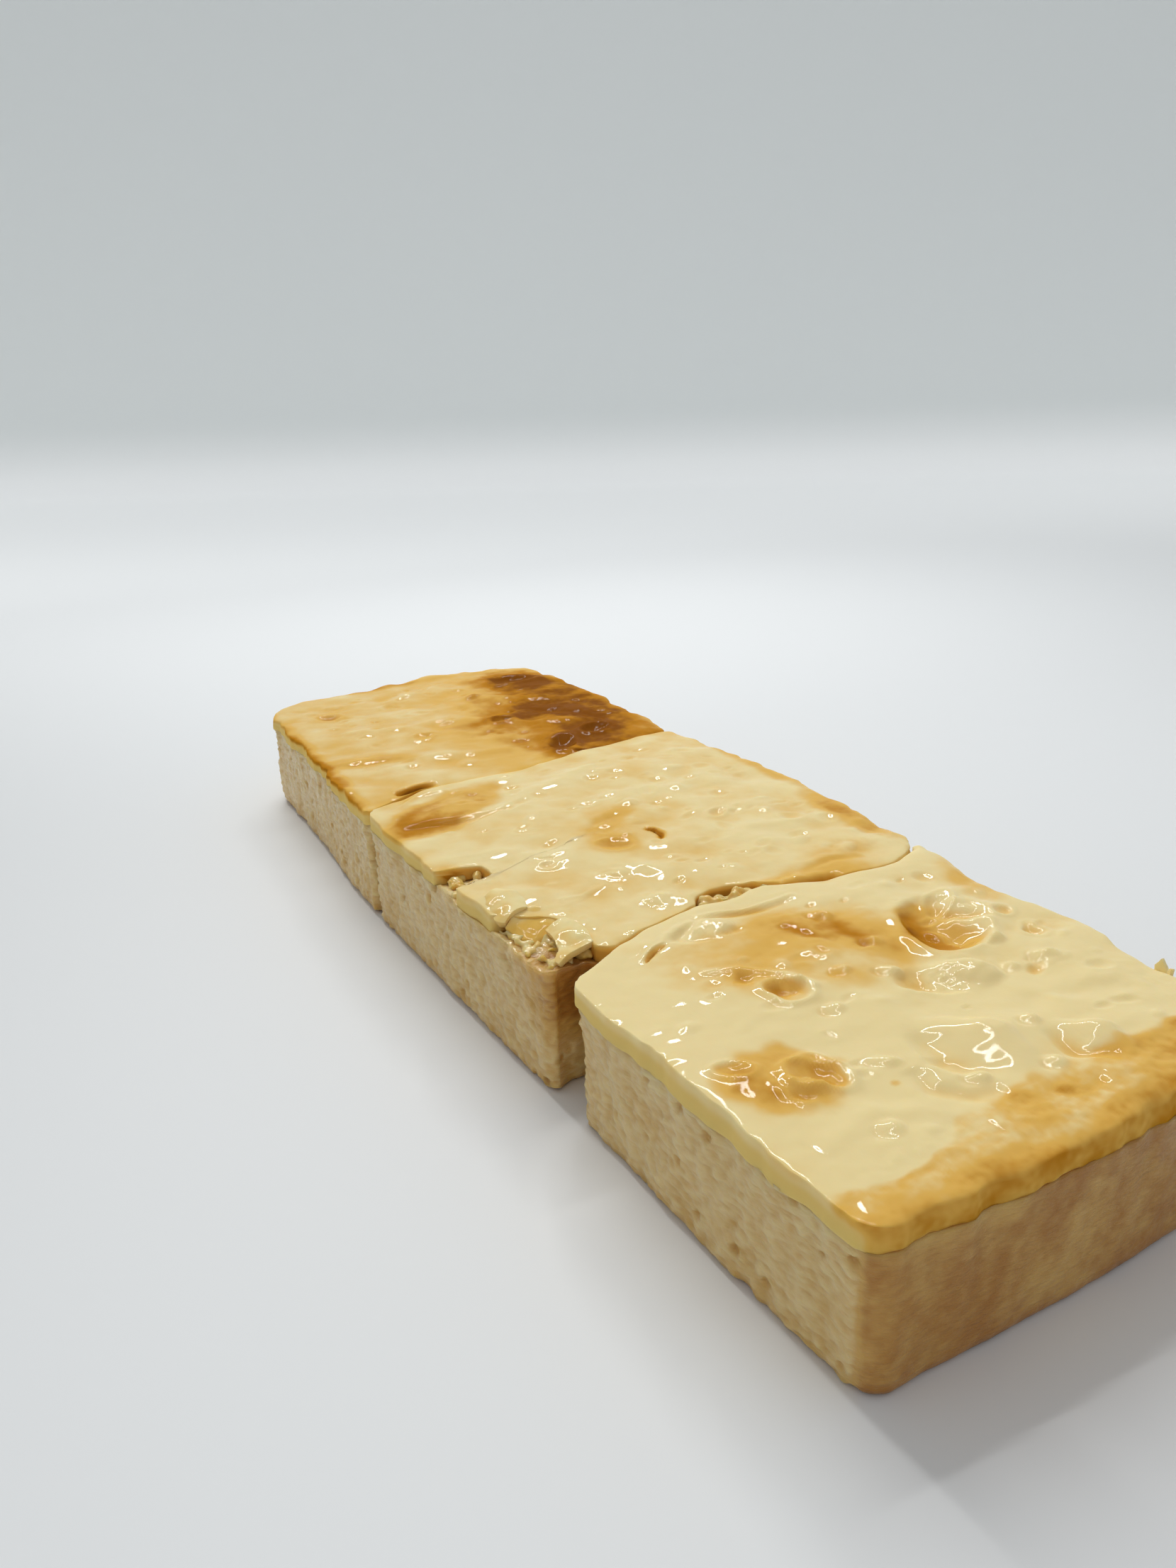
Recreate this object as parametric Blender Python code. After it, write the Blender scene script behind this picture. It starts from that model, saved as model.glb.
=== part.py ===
"""Cassava cake with a custard top: one baked slab that two knife cuts part into three square slices.

Each slice is a dense base of grated cassava under a layer of baked custard. The custard is blistered,
dimpled and a little wavy, and it is torn away along one edge of the middle slice, where the grated
cassava shows. The slab lies along Y, with its browned near end towards -Y, and stands on Z = 0.
"""

import math
import random

import bmesh
import bpy
from mathutils import Vector, noise

MM = 0.001

# Heights, mm
BASE_TOP = 17.5
LAYER_GAP = 0.3
CUSTARD_FLOOR = BASE_TOP + LAYER_GAP
CUSTARD_TOP = {"near": 21.6, "middle": 21.2, "far": 21.0}
BASE_FOOT = 0.8

# Plan, mm. Places are measured from a datum, and DATUM moves them so that the cake is centred.
DATUM = Vector((0.9, 1.65))
HALF_WIDTH = 37.0
CUT_GAP = 0.5
EDGE_ROLL = 0.9
EDGE_ROLL_LENGTH = 1.5
CUSTARD_LIP = 0.35

# Relief, mm
SWELL, SWELL_LENGTH = 0.85, 26.0
WAVE, WAVE_LENGTH = 0.42, 8.5
GRAIN, GRAIN_LENGTH = 0.75, 3.4
TORN_RISE = 2.1
TORN_REACH = 4.6

# Mesh steps
CUSTARD_STEPS = 34
BASE_STEPS = 22
BASE_WALL_LEVELS = (BASE_FOOT, 5.0, 9.2, 13.2, 16.4)
TORN_RINGS = (2.2, 4.4, 6.8, 9.4)

SEED = 41


def noise_at(point, length, layer):
    """Smooth noise from -1 to 1 in lumps about length mm across."""
    return noise.noise(Vector((point[0] / length, point[1] / length, layer)))


class Path:
    """A line seen from above, drawn smoothly through a few points, with a ragged edge and dents.

    A dent is (share of the way along, half its length in mm, depth in mm, the layers it cuts).
    """

    def __init__(self, points, ragged=0.45, layer=0.0, dents=()):
        self.points = [Vector(point) for point in points]
        self.ragged = ragged
        self.layer = layer
        self.dents = dents
        spans = [(b - a).length for a, b in zip(self.points, self.points[1:])]
        self.length = sum(spans)
        self.shares = [sum(spans[:i]) / self.length for i in range(len(spans) + 1)]

    def at(self, share):
        """The point a share of the way along."""
        last = len(self.points) - 2
        i = max(k for k in range(last + 1) if share >= self.shares[k] - 1e-9)
        f = (share - self.shares[i]) / (self.shares[i + 1] - self.shares[i])
        a, b = self.points[i], self.points[i + 1]
        before = self.points[i - 1] if i > 0 else a * 2 - b
        after = self.points[i + 2] if i < last else b * 2 - a
        point = 0.5 * (
            2 * a
            + (b - before) * f
            + (2 * before - 5 * a + 4 * b - after) * f**2
            + (3 * a - before - 3 * b + after) * f**3
        )
        along = (self.points[-1] - self.points[0]).normalized()
        across = Vector((along.y, -along.x))
        fade = min(1.0, 8 * share, 8 * (1 - share))
        jag = noise_at(point, 5.0, self.layer) + 0.5 * noise_at(point, 2.3, self.layer + 9)
        return point + across * (self.ragged * fade * jag)

    def dent(self, share, layer):
        """How far a layer is cut back a share of the way along."""
        total = 0.0
        for at, half, depth, layers in self.dents:
            if layer in layers:
                q = abs(share - at) * self.length / half
                total += depth * max(0.0, 1 - q**6) ** 1.5
        return total


class Side:
    """One side of a slice: a path, the way it is followed, and how far it is set back for a cut's gap.

    The custard may start later along the path than the base does, where its corner is torn off.
    """

    def __init__(self, path, backwards=False, gap=None, custard_start=0.0):
        self.path = path
        self.backwards = backwards
        self.gap = gap
        self.custard_start = custard_start

    def at(self, share, layer):
        """The point a share of the way along, in the slice's own order, for one layer."""
        s = 1 - share if self.backwards else share
        if layer == "custard":
            s = self.custard_start + (1 - self.custard_start) * s
        ends = self.path.points
        along = (ends[0] - ends[-1]) if self.backwards else (ends[-1] - ends[0])
        along.normalize()
        outward = Vector((along.y, -along.x))
        back = self.path.dent(s, layer) + (self.gap(s, layer) if self.gap else 0.0)
        return self.path.at(s) - outward * back


class Slice:
    """A slice between four sides, followed anticlockwise from its near left corner."""

    def __init__(self, name, sides, radii, marks):
        self.name = name
        self.sides = sides
        self.radii = radii
        self.marks = marks

    def corner(self, k, layer):
        """Where side k starts and the one before it ends. A cut's own end counts over an outer side's."""
        here, before = self.sides[k], self.sides[k - 1]
        if here.gap:
            return here.at(0, layer)
        if before.gap:
            return before.at(1, layer)
        return (here.at(0, layer) + before.at(1, layer)) / 2

    def rim(self, k, share, layer):
        """The point a share of the way along side k, with the corners rounded."""
        start, end = self.corner(k, layer), self.corner((k + 1) % 4, layer)
        side = self.sides[k]
        point = side.at(share, layer)
        point += (start - side.at(0, layer)) * (1 - share) + (end - side.at(1, layer)) * share
        along = (end - start).normalized()
        length = (end - start).length
        before = (self.corner(k - 1, layer) - start).normalized()
        after = (self.corner((k + 2) % 4, layer) - end).normalized()
        for corner, away, other, run, radius in (
            (start, along, before, share * length, self.radii[k]),
            (end, -along, after, (1 - share) * length, self.radii[(k + 1) % 4]),
        ):
            if run < radius:
                turn = (1 - run / radius) * math.pi / 4
                arc = corner + away * radius * (1 - math.sin(turn))
                arc += other * radius * (1 - math.cos(turn))
                blend = min(1.0, (1 - run / radius) * 2.5)
                point = point.lerp(arc, blend)
        return point

    def inside(self, u, v, layer):
        """The point at shares u across and v along the slice, as a patch hung between its four sides."""
        near, far = self.rim(0, u, layer), self.rim(2, 1 - u, layer)
        left, right = self.rim(3, 1 - v, layer), self.rim(1, v, layer)
        c00, c10 = self.rim(0, 0, layer), self.rim(0, 1, layer)
        c01, c11 = self.rim(2, 1, layer), self.rim(2, 0, layer)
        edges = near * (1 - v) + far * v + left * (1 - u) + right * u
        corners = (c00 * (1 - u) + c10 * u) * (1 - v) + (c01 * (1 - u) + c11 * u) * v
        return edges - corners

    def loop(self, steps, layer):
        """The slice's outline, anticlockwise from its near left corner."""
        return [self.rim(k, spread(i, steps), layer) for k in range(4) for i in range(steps)]


def spread(i, steps):
    """Step i as a share from 0 to 1, with the steps a little closer at both ends."""
    t = i / steps
    return 0.75 * t + 0.25 * (0.5 - 0.5 * math.cos(math.pi * t))


class Mark:
    """A blister, crater, dimple or ridge: an oval with a floor that rises or sinks inside a rim."""

    def __init__(self, x, y, long, short=None, turn=0.0, floor=0.0, rim=0.0):
        self.place = Vector((x, y))
        self.long = long
        self.short = short or long
        self.turn = math.radians(turn)
        self.floor = floor
        self.rim = rim

    def height(self, point):
        d = point - self.place
        c, s = math.cos(self.turn), math.sin(self.turn)
        q = math.hypot((d.x * c + d.y * s) / self.long, (d.y * c - d.x * s) / self.short)
        if q > 1.9:
            return 0.0
        bowl = self.floor * max(0.0, 1 - q * q) ** 1.5 if q < 1 else 0.0
        return bowl + self.rim * math.exp(-(((q - 1.05) / 0.32) ** 2))


def dimples(rng, box, count, avoid):
    """Small dimples and bubbles strewn over a box, clear of the larger marks and of each other."""
    made = []
    x0, y0, x1, y1 = box
    for _ in range(count * 20):
        size = rng.uniform(1.7, 2.9)
        place = Vector((rng.uniform(x0, x1), rng.uniform(y0, y1)))
        others = avoid + made
        if all((place - m.place).length > m.long + size + 0.6 for m in others):
            floor = rng.choice((-0.55, -0.4, 0.45))
            short, turn = size * rng.uniform(0.6, 1), rng.uniform(0, 180)
            made.append(Mark(place.x, place.y, size, short, turn, floor, 0.12))
        if len(made) == count:
            break
    return made


# The two cuts, and the six outer sides, from left to right and from near to far
CUT_ONE = Path(
    ((-38, -47.5), (-29.5, -44.6), (-20, -41.9), (-8, -38.6), (1, -38.2), (9, -41.2), (25, -44), (35, -39.6)),
    ragged=0.4,
    layer=1.5,
)
CUT_TWO = Path(((-38, 26), (-25, 31.6), (0, 33.6), (38, 39.8)), ragged=0.3, layer=2.5)
NEAR_END = Path(((-38, -109), (-4, -109.4), (31.5, -107.4)), ragged=0.7, layer=3.5)
FAR_END = Path(((38.5, 108.6), (20, 112.6), (-8, 111.2), (-33, 109)), ragged=1.0, layer=4.5)
NEAR_RIGHT = Path(((31.5, -107.4), (30.2, -88), (33.4, -72), (31.2, -61), (35, -39.6)), layer=5.5)
MIDDLE_RIGHT = Path(((35, -39.6), (37, -23), (40.2, 3), (38.6, 24), (38, 39.8)), ragged=0.8, layer=6.5)
FAR_RIGHT = Path(((38, 39.8), (39.2, 62), (39.8, 82), (38.5, 108.6)), ragged=1.0, layer=7.5)
NEAR_LEFT = Path(((-38, -109), (-38.6, -78), (-38, -47.5)), ragged=0.6, layer=8.5)
BAYS = (
    (0.504, 5.0, 7.6, ("custard",)),
    (0.02, 19.0, 8.4, ("custard",)),
)
TORN_CORNER = 0.125
MIDDLE_LEFT = Path(((-38, -47.5), (-38.2, -20), (-38, 26)), ragged=0.5, layer=9.5, dents=BAYS)
FAR_LEFT = Path(((-38, 26), (-36.6, 48), (-34.6, 72), (-33, 109)), ragged=0.9, layer=10.5)

MARKS = {
    "near": [
        Mark(15.2, -64, 6.6, 5.4, -60, floor=-2.0, rim=0.65),
        Mark(-18.8, -60.8, 3.6, 2.6, -40, floor=-1.1, rim=0.45),
        Mark(-14.6, -67.2, 3.6, 2.8, -35, floor=-1.6, rim=0.5),
        Mark(-24.2, -83.6, 5.4, 4.4, -50, floor=-0.9, rim=0.85),
        Mark(-31.6, -81.5, 4.2, 3.2, 30, floor=0.9),
        Mark(-27.2, -89.4, 3.6, 2.4, -20, floor=0.8),
        Mark(-6.0, -89.2, 5.0, 4.0, -70, floor=-0.6, rim=0.6),
        Mark(8.0, -96, 3.8, 2.6, -60, floor=-0.5, rim=0.55),
        Mark(19.5, -79.9, 4.4, 2.8, 20, floor=1.1),
        Mark(25.5, -66.1, 2.6, 2.0, 0, floor=-0.8, rim=0.2),
        Mark(26.4, -73.4, 2.8, 2.2, 60, floor=-0.7, rim=0.3),
        Mark(5.6, -51.6, 4.2, 1.7, 8, floor=-0.7, rim=0.2),
        Mark(5.6, -76.2, 6.4, 1.8, -32, floor=0.8),
        Mark(-20.4, -48.8, 7.6, 1.5, 14, floor=-1.0, rim=0.3),
        Mark(-13.6, -95.4, 5.2, 1.8, -20, floor=-0.8),
    ],
    "middle": [
        Mark(-8.2, -12.4, 3.2, 2.6, 0, floor=-0.6, rim=0.3),
        Mark(0.8, -11.8, 3.4, 1.4, 80, floor=-0.9, rim=0.3),
        Mark(-13.4, -22.2, 3.0, 2.4, 30, floor=-0.7, rim=0.35),
        Mark(-13.4, -33.8, 3.2, 2.4, 10, floor=-0.8, rim=0.4),
        Mark(11.6, -38.6, 7.6, 2.0, -22, floor=1.1),
        Mark(-25, 18, 10, 6.5, 35, floor=0.8),
        Mark(28, -26, 3.2, 2.2, 40, floor=0.7),
    ],
    "far": [
        Mark(10.3, 64.2, 4.2, 3.0, 20, floor=-1.2, rim=0.5),
        Mark(23.6, 48.1, 4.6, 3.4, 0, floor=-1.4, rim=0.6),
        Mark(13.3, 42.6, 3.8, 2.6, 15, floor=-1.0, rim=0.5),
        Mark(29.0, 92.0, 4.4, 3.4, 0, floor=-0.9, rim=0.5),
        Mark(10.8, 84.1, 4.0, 3.0, 40, floor=-0.8, rim=0.35),
        Mark(-23.2, 91.2, 3.2, 2.4, 0, floor=-0.7, rim=0.3),
        Mark(-11.2, 62.9, 4.0, 2.8, 30, floor=-0.7, rim=0.35),
        Mark(-26.2, 55.2, 6.5, 2.4, -20, floor=0.7),
    ],
}


def gap_one(share, layer):
    """Half the first cut's gap: open at its left end, with a hollow under the custard, and at a chip."""
    opening = 1.9 if layer == "custard" else 2.9
    left = opening * max(0.0, 1 - (share / 0.16) ** 2)
    chip = 1.0 * math.exp(-(((share - 0.47) / 0.055) ** 2))
    return CUT_GAP / 2 + left + chip


def gap_two(share, layer):
    """Half the second cut's gap: tight, with a short crack near its left end."""
    return CUT_GAP / 2 + 0.5 * math.exp(-(((share - 0.15) / 0.07) ** 2))


def make_slices():
    """The three slices, from the near end to the far end."""
    rng = random.Random(SEED)
    boxes = {"near": (-33, -103, 28, -47), "middle": (-24, -32, 34, 30), "far": (-28, 44, 33, 104)}
    counts = {"near": 14, "middle": 24, "far": 18}
    marks = {name: MARKS[name] + dimples(rng, boxes[name], counts[name], MARKS[name]) for name in MARKS}
    near = [Side(NEAR_END), Side(NEAR_RIGHT), Side(CUT_ONE, True, gap_one), Side(NEAR_LEFT, True)]
    middle = [Side(CUT_ONE, False, gap_one, TORN_CORNER), Side(MIDDLE_RIGHT)]
    middle += [Side(CUT_TWO, True, gap_two), Side(MIDDLE_LEFT, True)]
    far = [Side(CUT_TWO, False, gap_two), Side(FAR_RIGHT), Side(FAR_END), Side(FAR_LEFT, True)]
    return [
        Slice("near", near, (3.5, 4.5, 2.6, 2.2), marks["near"]),
        Slice("middle", middle, (2.0, 2.6, 2.4, 2.0), marks["middle"]),
        Slice("far", far, (2.0, 2.4, 6.0, 12.0), marks["far"]),
    ]


def custard_height(piece, point, edge):
    """The custard's top in mm at a point, where edge is the way in mm to the nearest side."""
    z = CUSTARD_TOP[piece.name]
    z += SWELL * noise_at(point, SWELL_LENGTH, 20.0)
    z += WAVE * noise_at(point, WAVE_LENGTH, 30.0)
    z += sum(mark.height(point) for mark in piece.marks)
    z -= EDGE_ROLL * math.exp(-edge / EDGE_ROLL_LENGTH)
    return max(z, CUSTARD_FLOOR + 1.2)


def place(point, z):
    """A point of the plan and a height, both in mm, in the cake's frame in metres."""
    flat = (Vector((point[0], point[1])) - DATUM) * MM
    return Vector((flat.x, flat.y, z * MM))


def bridge(bm, lower, upper):
    """Joins two rings of vertices with quads that face outward when the rings run anticlockwise."""
    count = len(lower)
    for i in range(count):
        j = (i + 1) % count
        bm.faces.new((lower[i], lower[j], upper[j], upper[i]))


def add_object(bm, name, material, collection):
    """Turns a bmesh into a named object in a collection."""
    bmesh.ops.recalc_face_normals(bm, faces=bm.faces)
    mesh = bpy.data.meshes.new(name)
    bm.to_mesh(mesh)
    bm.free()
    obj = bpy.data.objects.new(name, mesh)
    obj.data.materials.append(material)
    collection.objects.link(obj)
    return obj


def make_custard(piece, material, collection):
    """The custard layer of one slice: a wavy, blistered top over a flat underside."""
    bm = bmesh.new()
    n = CUSTARD_STEPS
    top = {}
    for i in range(n + 1):
        for j in range(n + 1):
            u, v = spread(i, n), spread(j, n)
            point = piece.inside(u, v, "custard")
            edge = 2 * HALF_WIDTH * min(u, 1 - u, v, 1 - v)
            z = custard_height(piece, point, edge)
            if edge == 0:
                middle = piece.inside(0.5, 0.5, "custard")
                point = middle + (point - middle) * (1 - CUSTARD_LIP / HALF_WIDTH)
            top[i, j] = bm.verts.new(place(point, z))
    for i in range(n):
        for j in range(n):
            bm.faces.new((top[i, j], top[i + 1, j], top[i + 1, j + 1], top[i, j + 1]))
    ring = [(i, 0) for i in range(n)] + [(n, j) for j in range(n)]
    ring += [(n - i, n) for i in range(n)] + [(0, n - j) for j in range(n)]
    waist, foot = [], []
    for i, j in ring:
        point = piece.inside(spread(i, n), spread(j, n), "custard")
        rise = top[i, j].co.z / MM - CUSTARD_FLOOR
        waist.append(bm.verts.new(place(point, CUSTARD_FLOOR + 0.62 * rise)))
        foot.append(bm.verts.new(place(point, CUSTARD_FLOOR)))
    bridge(bm, waist, [top[key] for key in ring])
    bridge(bm, foot, waist)
    bm.faces.new(reversed(foot))
    return add_object(bm, f"custard_{piece.name}", material, collection)


def way_outside(outline, point):
    """How far in mm a point lies outside a closed outline, or 0 inside it."""
    inside = False
    nearest = math.inf
    for a, b in zip(outline, outline[1:] + outline[:1]):
        if (a.y > point.y) != (b.y > point.y):
            crossing = a.x + (point.y - a.y) / (b.y - a.y) * (b.x - a.x)
            inside ^= point.x < crossing
        run = b - a
        share = max(0.0, min(1.0, (point - a).dot(run) / max(run.length_squared, 1e-12)))
        nearest = min(nearest, (a + run * share - point).length)
    return 0.0 if inside else nearest


def torn_height(outline, point):
    """How far the grated cassava stands up where the custard above it is torn away.

    It rises slowly enough that no facet reaches the custard's edge above the gap between the layers.
    """
    clear = way_outside(outline, point)
    if clear < 1.0:
        return 0.0
    most = 0.85 * LAYER_GAP * TORN_REACH / max(TORN_REACH - clear, 0.05)
    return min(most, TORN_RISE * (0.8 + 0.4 * noise_at(point, GRAIN_LENGTH, 60.0)))


def make_base(piece, material, collection):
    """The grated cassava of one slice: rough walls, a small round foot and a flat top and underside."""
    bm = bmesh.new()
    middle = piece.inside(0.5, 0.5, "base")
    loop = piece.loop(BASE_STEPS, "base")
    cover = piece.loop(CUSTARD_STEPS, "custard")

    def ring(z, inset, rough, torn=False):
        """A ring of the wall at one height, set in from the outline and roughened inward."""
        verts = []
        for point in loop:
            level = Vector((point.x / GRAIN_LENGTH, point.y / GRAIN_LENGTH, z / GRAIN_LENGTH + 70))
            back = inset + rough * (0.5 + noise.noise(level))
            moved = middle + (point - middle) * (1 - max(0.0, back) / HALF_WIDTH)
            rise = torn_height(cover, moved) if torn else 0.0
            verts.append(bm.verts.new(place(moved, z + rise)))
        return verts

    rings = [ring(0.0, 1.0, 0.3)]
    rings += [ring(z, 0.0, GRAIN) for z in BASE_WALL_LEVELS]
    torn = any(side.path.dents for side in piece.sides)
    rings.append(ring(BASE_TOP, 0.5, 0.3, torn))
    if torn:
        rings += [ring(BASE_TOP, inset, 0.2, torn=True) for inset in TORN_RINGS]
    for lower, upper in zip(rings, rings[1:]):
        bridge(bm, lower, upper)
    bm.faces.new(reversed(rings[0]))
    bm.faces.new(rings[-1])
    return add_object(bm, f"cassava_{piece.name}", material, collection)


def make_material(name, colour, roughness):
    """A plain food material."""
    material = bpy.data.materials.new(name)
    material.use_nodes = True
    shader = material.node_tree.nodes["Principled BSDF"]
    shader.inputs["Base Color"].default_value = (*colour, 1.0)
    shader.inputs["Roughness"].default_value = roughness
    return material


def clear_scene():
    """Removes the scene's objects."""
    for obj in list(bpy.data.objects):
        bpy.data.objects.remove(obj, do_unlink=True)


def main():
    clear_scene()
    cake = bpy.data.collections.new("cassava_cake")
    bpy.context.scene.collection.children.link(cake)
    for piece in make_slices():
        custard = make_material(f"custard_{piece.name}", (0.78, 0.63, 0.34), 0.3)
        cassava = make_material(f"cassava_{piece.name}", (0.55, 0.38, 0.14), 0.45)
        make_base(piece, cassava, cake)
        make_custard(piece, custard, cake)


if __name__ == "__main__":
    main()
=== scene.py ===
"""Studio scene of a cassava cake: three square slices of one slab, with a blistered custard top.

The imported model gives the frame. Each slice's custard and cassava are modelled again here with their
fine relief, and dressed with procedural finishes.
"""

import logging
import math
import random
from dataclasses import dataclass, field, replace
from enum import Enum

import bpy
import numpy as np
from mathutils import Matrix, Vector, noise


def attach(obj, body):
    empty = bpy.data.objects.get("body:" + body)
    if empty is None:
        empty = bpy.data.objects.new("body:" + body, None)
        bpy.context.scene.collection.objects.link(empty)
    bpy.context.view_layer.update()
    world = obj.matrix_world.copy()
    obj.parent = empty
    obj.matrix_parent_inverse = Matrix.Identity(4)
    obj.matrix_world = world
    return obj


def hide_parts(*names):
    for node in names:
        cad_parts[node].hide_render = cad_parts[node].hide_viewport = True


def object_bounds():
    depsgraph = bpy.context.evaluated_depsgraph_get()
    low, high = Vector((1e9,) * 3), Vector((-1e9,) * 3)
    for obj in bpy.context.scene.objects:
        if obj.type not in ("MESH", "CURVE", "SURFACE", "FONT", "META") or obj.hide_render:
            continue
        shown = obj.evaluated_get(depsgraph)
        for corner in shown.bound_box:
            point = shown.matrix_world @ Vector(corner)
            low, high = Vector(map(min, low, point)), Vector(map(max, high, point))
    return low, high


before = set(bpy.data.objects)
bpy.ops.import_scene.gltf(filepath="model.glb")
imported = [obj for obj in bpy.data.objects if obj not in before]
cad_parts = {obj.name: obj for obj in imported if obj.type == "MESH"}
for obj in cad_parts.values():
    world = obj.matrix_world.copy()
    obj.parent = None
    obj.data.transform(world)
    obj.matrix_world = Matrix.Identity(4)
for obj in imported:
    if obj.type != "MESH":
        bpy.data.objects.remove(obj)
CAD_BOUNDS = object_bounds()

logging.basicConfig(level=logging.INFO, format="%(message)s")
LOG = logging.getLogger("cassava_cake")

MM = 0.001

# Plan and heights in mm, as the solids have them. DATUM is the datum's place from the cake's middle.
DATUM = np.array((0.9, 1.65))
HALF_WIDTH = 37.0
CUT_GAP = 0.5
CUSTARD_FLOOR = 17.8
CASSAVA_TOP = 18.3
TORN_CORNER = 0.125
SEED = 41

Pair = tuple[float, float]
Triple = tuple[float, float, float]
Four = tuple[float, float, float, float]


class Layer(Enum):
    """The two layers of a slice."""

    CUSTARD = "custard"
    CASSAVA = "base"


class Place(Enum):
    """Where a slice lies along the slab."""

    NEAR = "near"
    MIDDLE = "middle"
    FAR = "far"


CUSTARD_TOP = {Place.NEAR: 21.6, Place.MIDDLE: 21.2, Place.FAR: 21.0}
# Each slice's base browning: the middle and far slices' larger share is partly painted shade, darker the
# farther the slice lies
CUSTARD_BAKE_AND_SHADE = {Place.NEAR: 0.02, Place.MIDDLE: 0.12, Place.FAR: 0.23}
NEAR_END_Y = -109.0
PAN_SKIN = (1.2, 2.6)
LOOP_STEPS = 160

# The way in which a leaning blister rises, and how long an edge's jags are and how they fade to its ends
LEAN_WAY = np.array((0.97, 0.24))
JAG_LONG, JAG_SHORT, JAG_FADE = 5.0, 2.3, 8.0


@dataclass(frozen=True)
class Lumps:
    """Smooth noise of one height and length, over the plan or through space."""

    height: float
    length: float
    sheet: float
    stretch: tuple[float, ...] = ()

    def at(self, points: np.ndarray) -> np.ndarray:
        """The noise at each point.

        Args:
            points: Rows of x, y or of x, y, z in mm.

        Returns:
            One value for each point, from minus the height to the height.
        """
        placed = (points * self.stretch if self.stretch else points) / self.length
        if placed.shape[1] == 2:
            placed = np.column_stack([placed, np.zeros(len(placed))])
        placed = placed + (0, 0, self.sheet)
        return self.height * np.array([noise.noise(place) for place in placed.tolist()])


def lumpy(points: np.ndarray, kinds: tuple[Lumps, ...]) -> np.ndarray:
    """Several kinds of lumps added up at each point."""
    return sum(kind.at(points) for kind in kinds)


def grain_solid(points: np.ndarray, length: float) -> np.ndarray:
    """Rounded grains packed through space.

    Args:
        points: Rows of x, y, z in mm.
        length: How wide a grain is, in mm.

    Returns:
        One value for each point, 1 at a grain's middle and about 0 between grains.
    """
    nearest = [noise.voronoi((x / length, y / length, z / length))[0][0] for x, y, z in points]
    return 1 - np.clip(np.array(nearest), 0, 1)


def ease(value: np.ndarray, low: float, high: float) -> np.ndarray:
    """A smooth step from 0 at low to 1 at high."""
    t = np.clip((value - low) / (high - low), 0, 1)
    return t * t * (3 - 2 * t)


@dataclass
class Path:
    """A line seen from above through a few points, with a ragged edge and dents."""

    points: tuple[Pair, ...]
    ragged: float = 0.45
    layer: float = 0.0
    dents: tuple[Triple, ...] = ()
    length: float = field(init=False)
    shares: list[float] = field(init=False)

    def __post_init__(self) -> None:
        """Works out how far along each point lies."""
        ends = [Vector(p) for p in self.points]
        spans = [(b - a).length for a, b in zip(ends, ends[1:])]
        self.length = sum(spans)
        self.shares = [sum(spans[:i]) / self.length for i in range(len(ends))]

    def across(self) -> Vector:
        """The direction to the right of the way from the first point to the last."""
        along = (Vector(self.points[-1]) - Vector(self.points[0])).normalized()
        return Vector((along.y, -along.x))

    def at(self, share: float) -> Vector:
        """The point a share of the way along.

        Args:
            share: From 0 at the first point to 1 at the last.

        Returns:
            The point in mm, on a smooth curve through the path's points.
        """
        last = len(self.points) - 2
        i = max(k for k in range(last + 1) if share >= self.shares[k] - 1e-9)
        f = (share - self.shares[i]) / (self.shares[i + 1] - self.shares[i])
        a, b = Vector(self.points[i]), Vector(self.points[i + 1])
        before = Vector(self.points[i - 1]) if i > 0 else a * 2 - b
        after = Vector(self.points[i + 2]) if i < last else b * 2 - a
        point = 0.5 * (
            2 * a
            + (b - before) * f
            + (2 * before - 5 * a + 4 * b - after) * f**2
            + (3 * a - before - 3 * b + after) * f**3
        )
        fade = min(1.0, JAG_FADE * share, JAG_FADE * (1 - share))
        jag = noise.noise((point.x / JAG_LONG, point.y / JAG_LONG, self.layer))
        jag += 0.5 * noise.noise((point.x / JAG_SHORT, point.y / JAG_SHORT, self.layer + 9))
        return point + self.across() * (self.ragged * fade * jag)

    def dent(self, share: float) -> float:
        """How far the custard is torn back a share of the way along, in mm."""
        total = 0.0
        for middle, half, depth in self.dents:
            q = abs(share - middle) * self.length / half
            total += depth * max(0.0, 1 - q**6) ** 1.5
        return total


@dataclass
class Side:
    """One side of a slice: a path, the way it is followed, and the cut it belongs to."""

    path: Path
    backwards: bool = False
    cut: "Cut | None" = None
    custard_start: float = 0.0

    def at(self, share: float, layer: Layer) -> Vector:
        """The point a share of the way along, in the slice's own order.

        Args:
            share: From 0 to 1 along the side.
            layer: Which layer's outline is asked for.

        Returns:
            The point in mm.
        """
        s = 1 - share if self.backwards else share
        if layer is Layer.CUSTARD:
            s = self.custard_start + (1 - self.custard_start) * s
        outward = -self.path.across() if self.backwards else self.path.across()
        back = self.path.dent(s) if layer is Layer.CUSTARD else 0.0
        if self.cut:
            back += self.cut.half_gap(s, layer)
        return self.path.at(s) - outward * back


@dataclass(frozen=True)
class Cut:
    """A knife's cut across the slab, and how wide it gapes along its length."""

    left_opening: dict[Layer, float]
    chips: tuple[Triple, ...]
    gap: float = CUT_GAP
    opening_run: float = 0.16

    def half_gap(self, share: float, layer: Layer) -> float:
        """Half the gap in mm, a share of the way from the left end."""
        left = self.left_opening[layer] * max(0.0, 1 - (share / self.opening_run) ** 2)
        chips = sum(wide * math.exp(-(((share - at) / run) ** 2)) for at, run, wide in self.chips)
        return self.gap / 2 + left + chips


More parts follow.
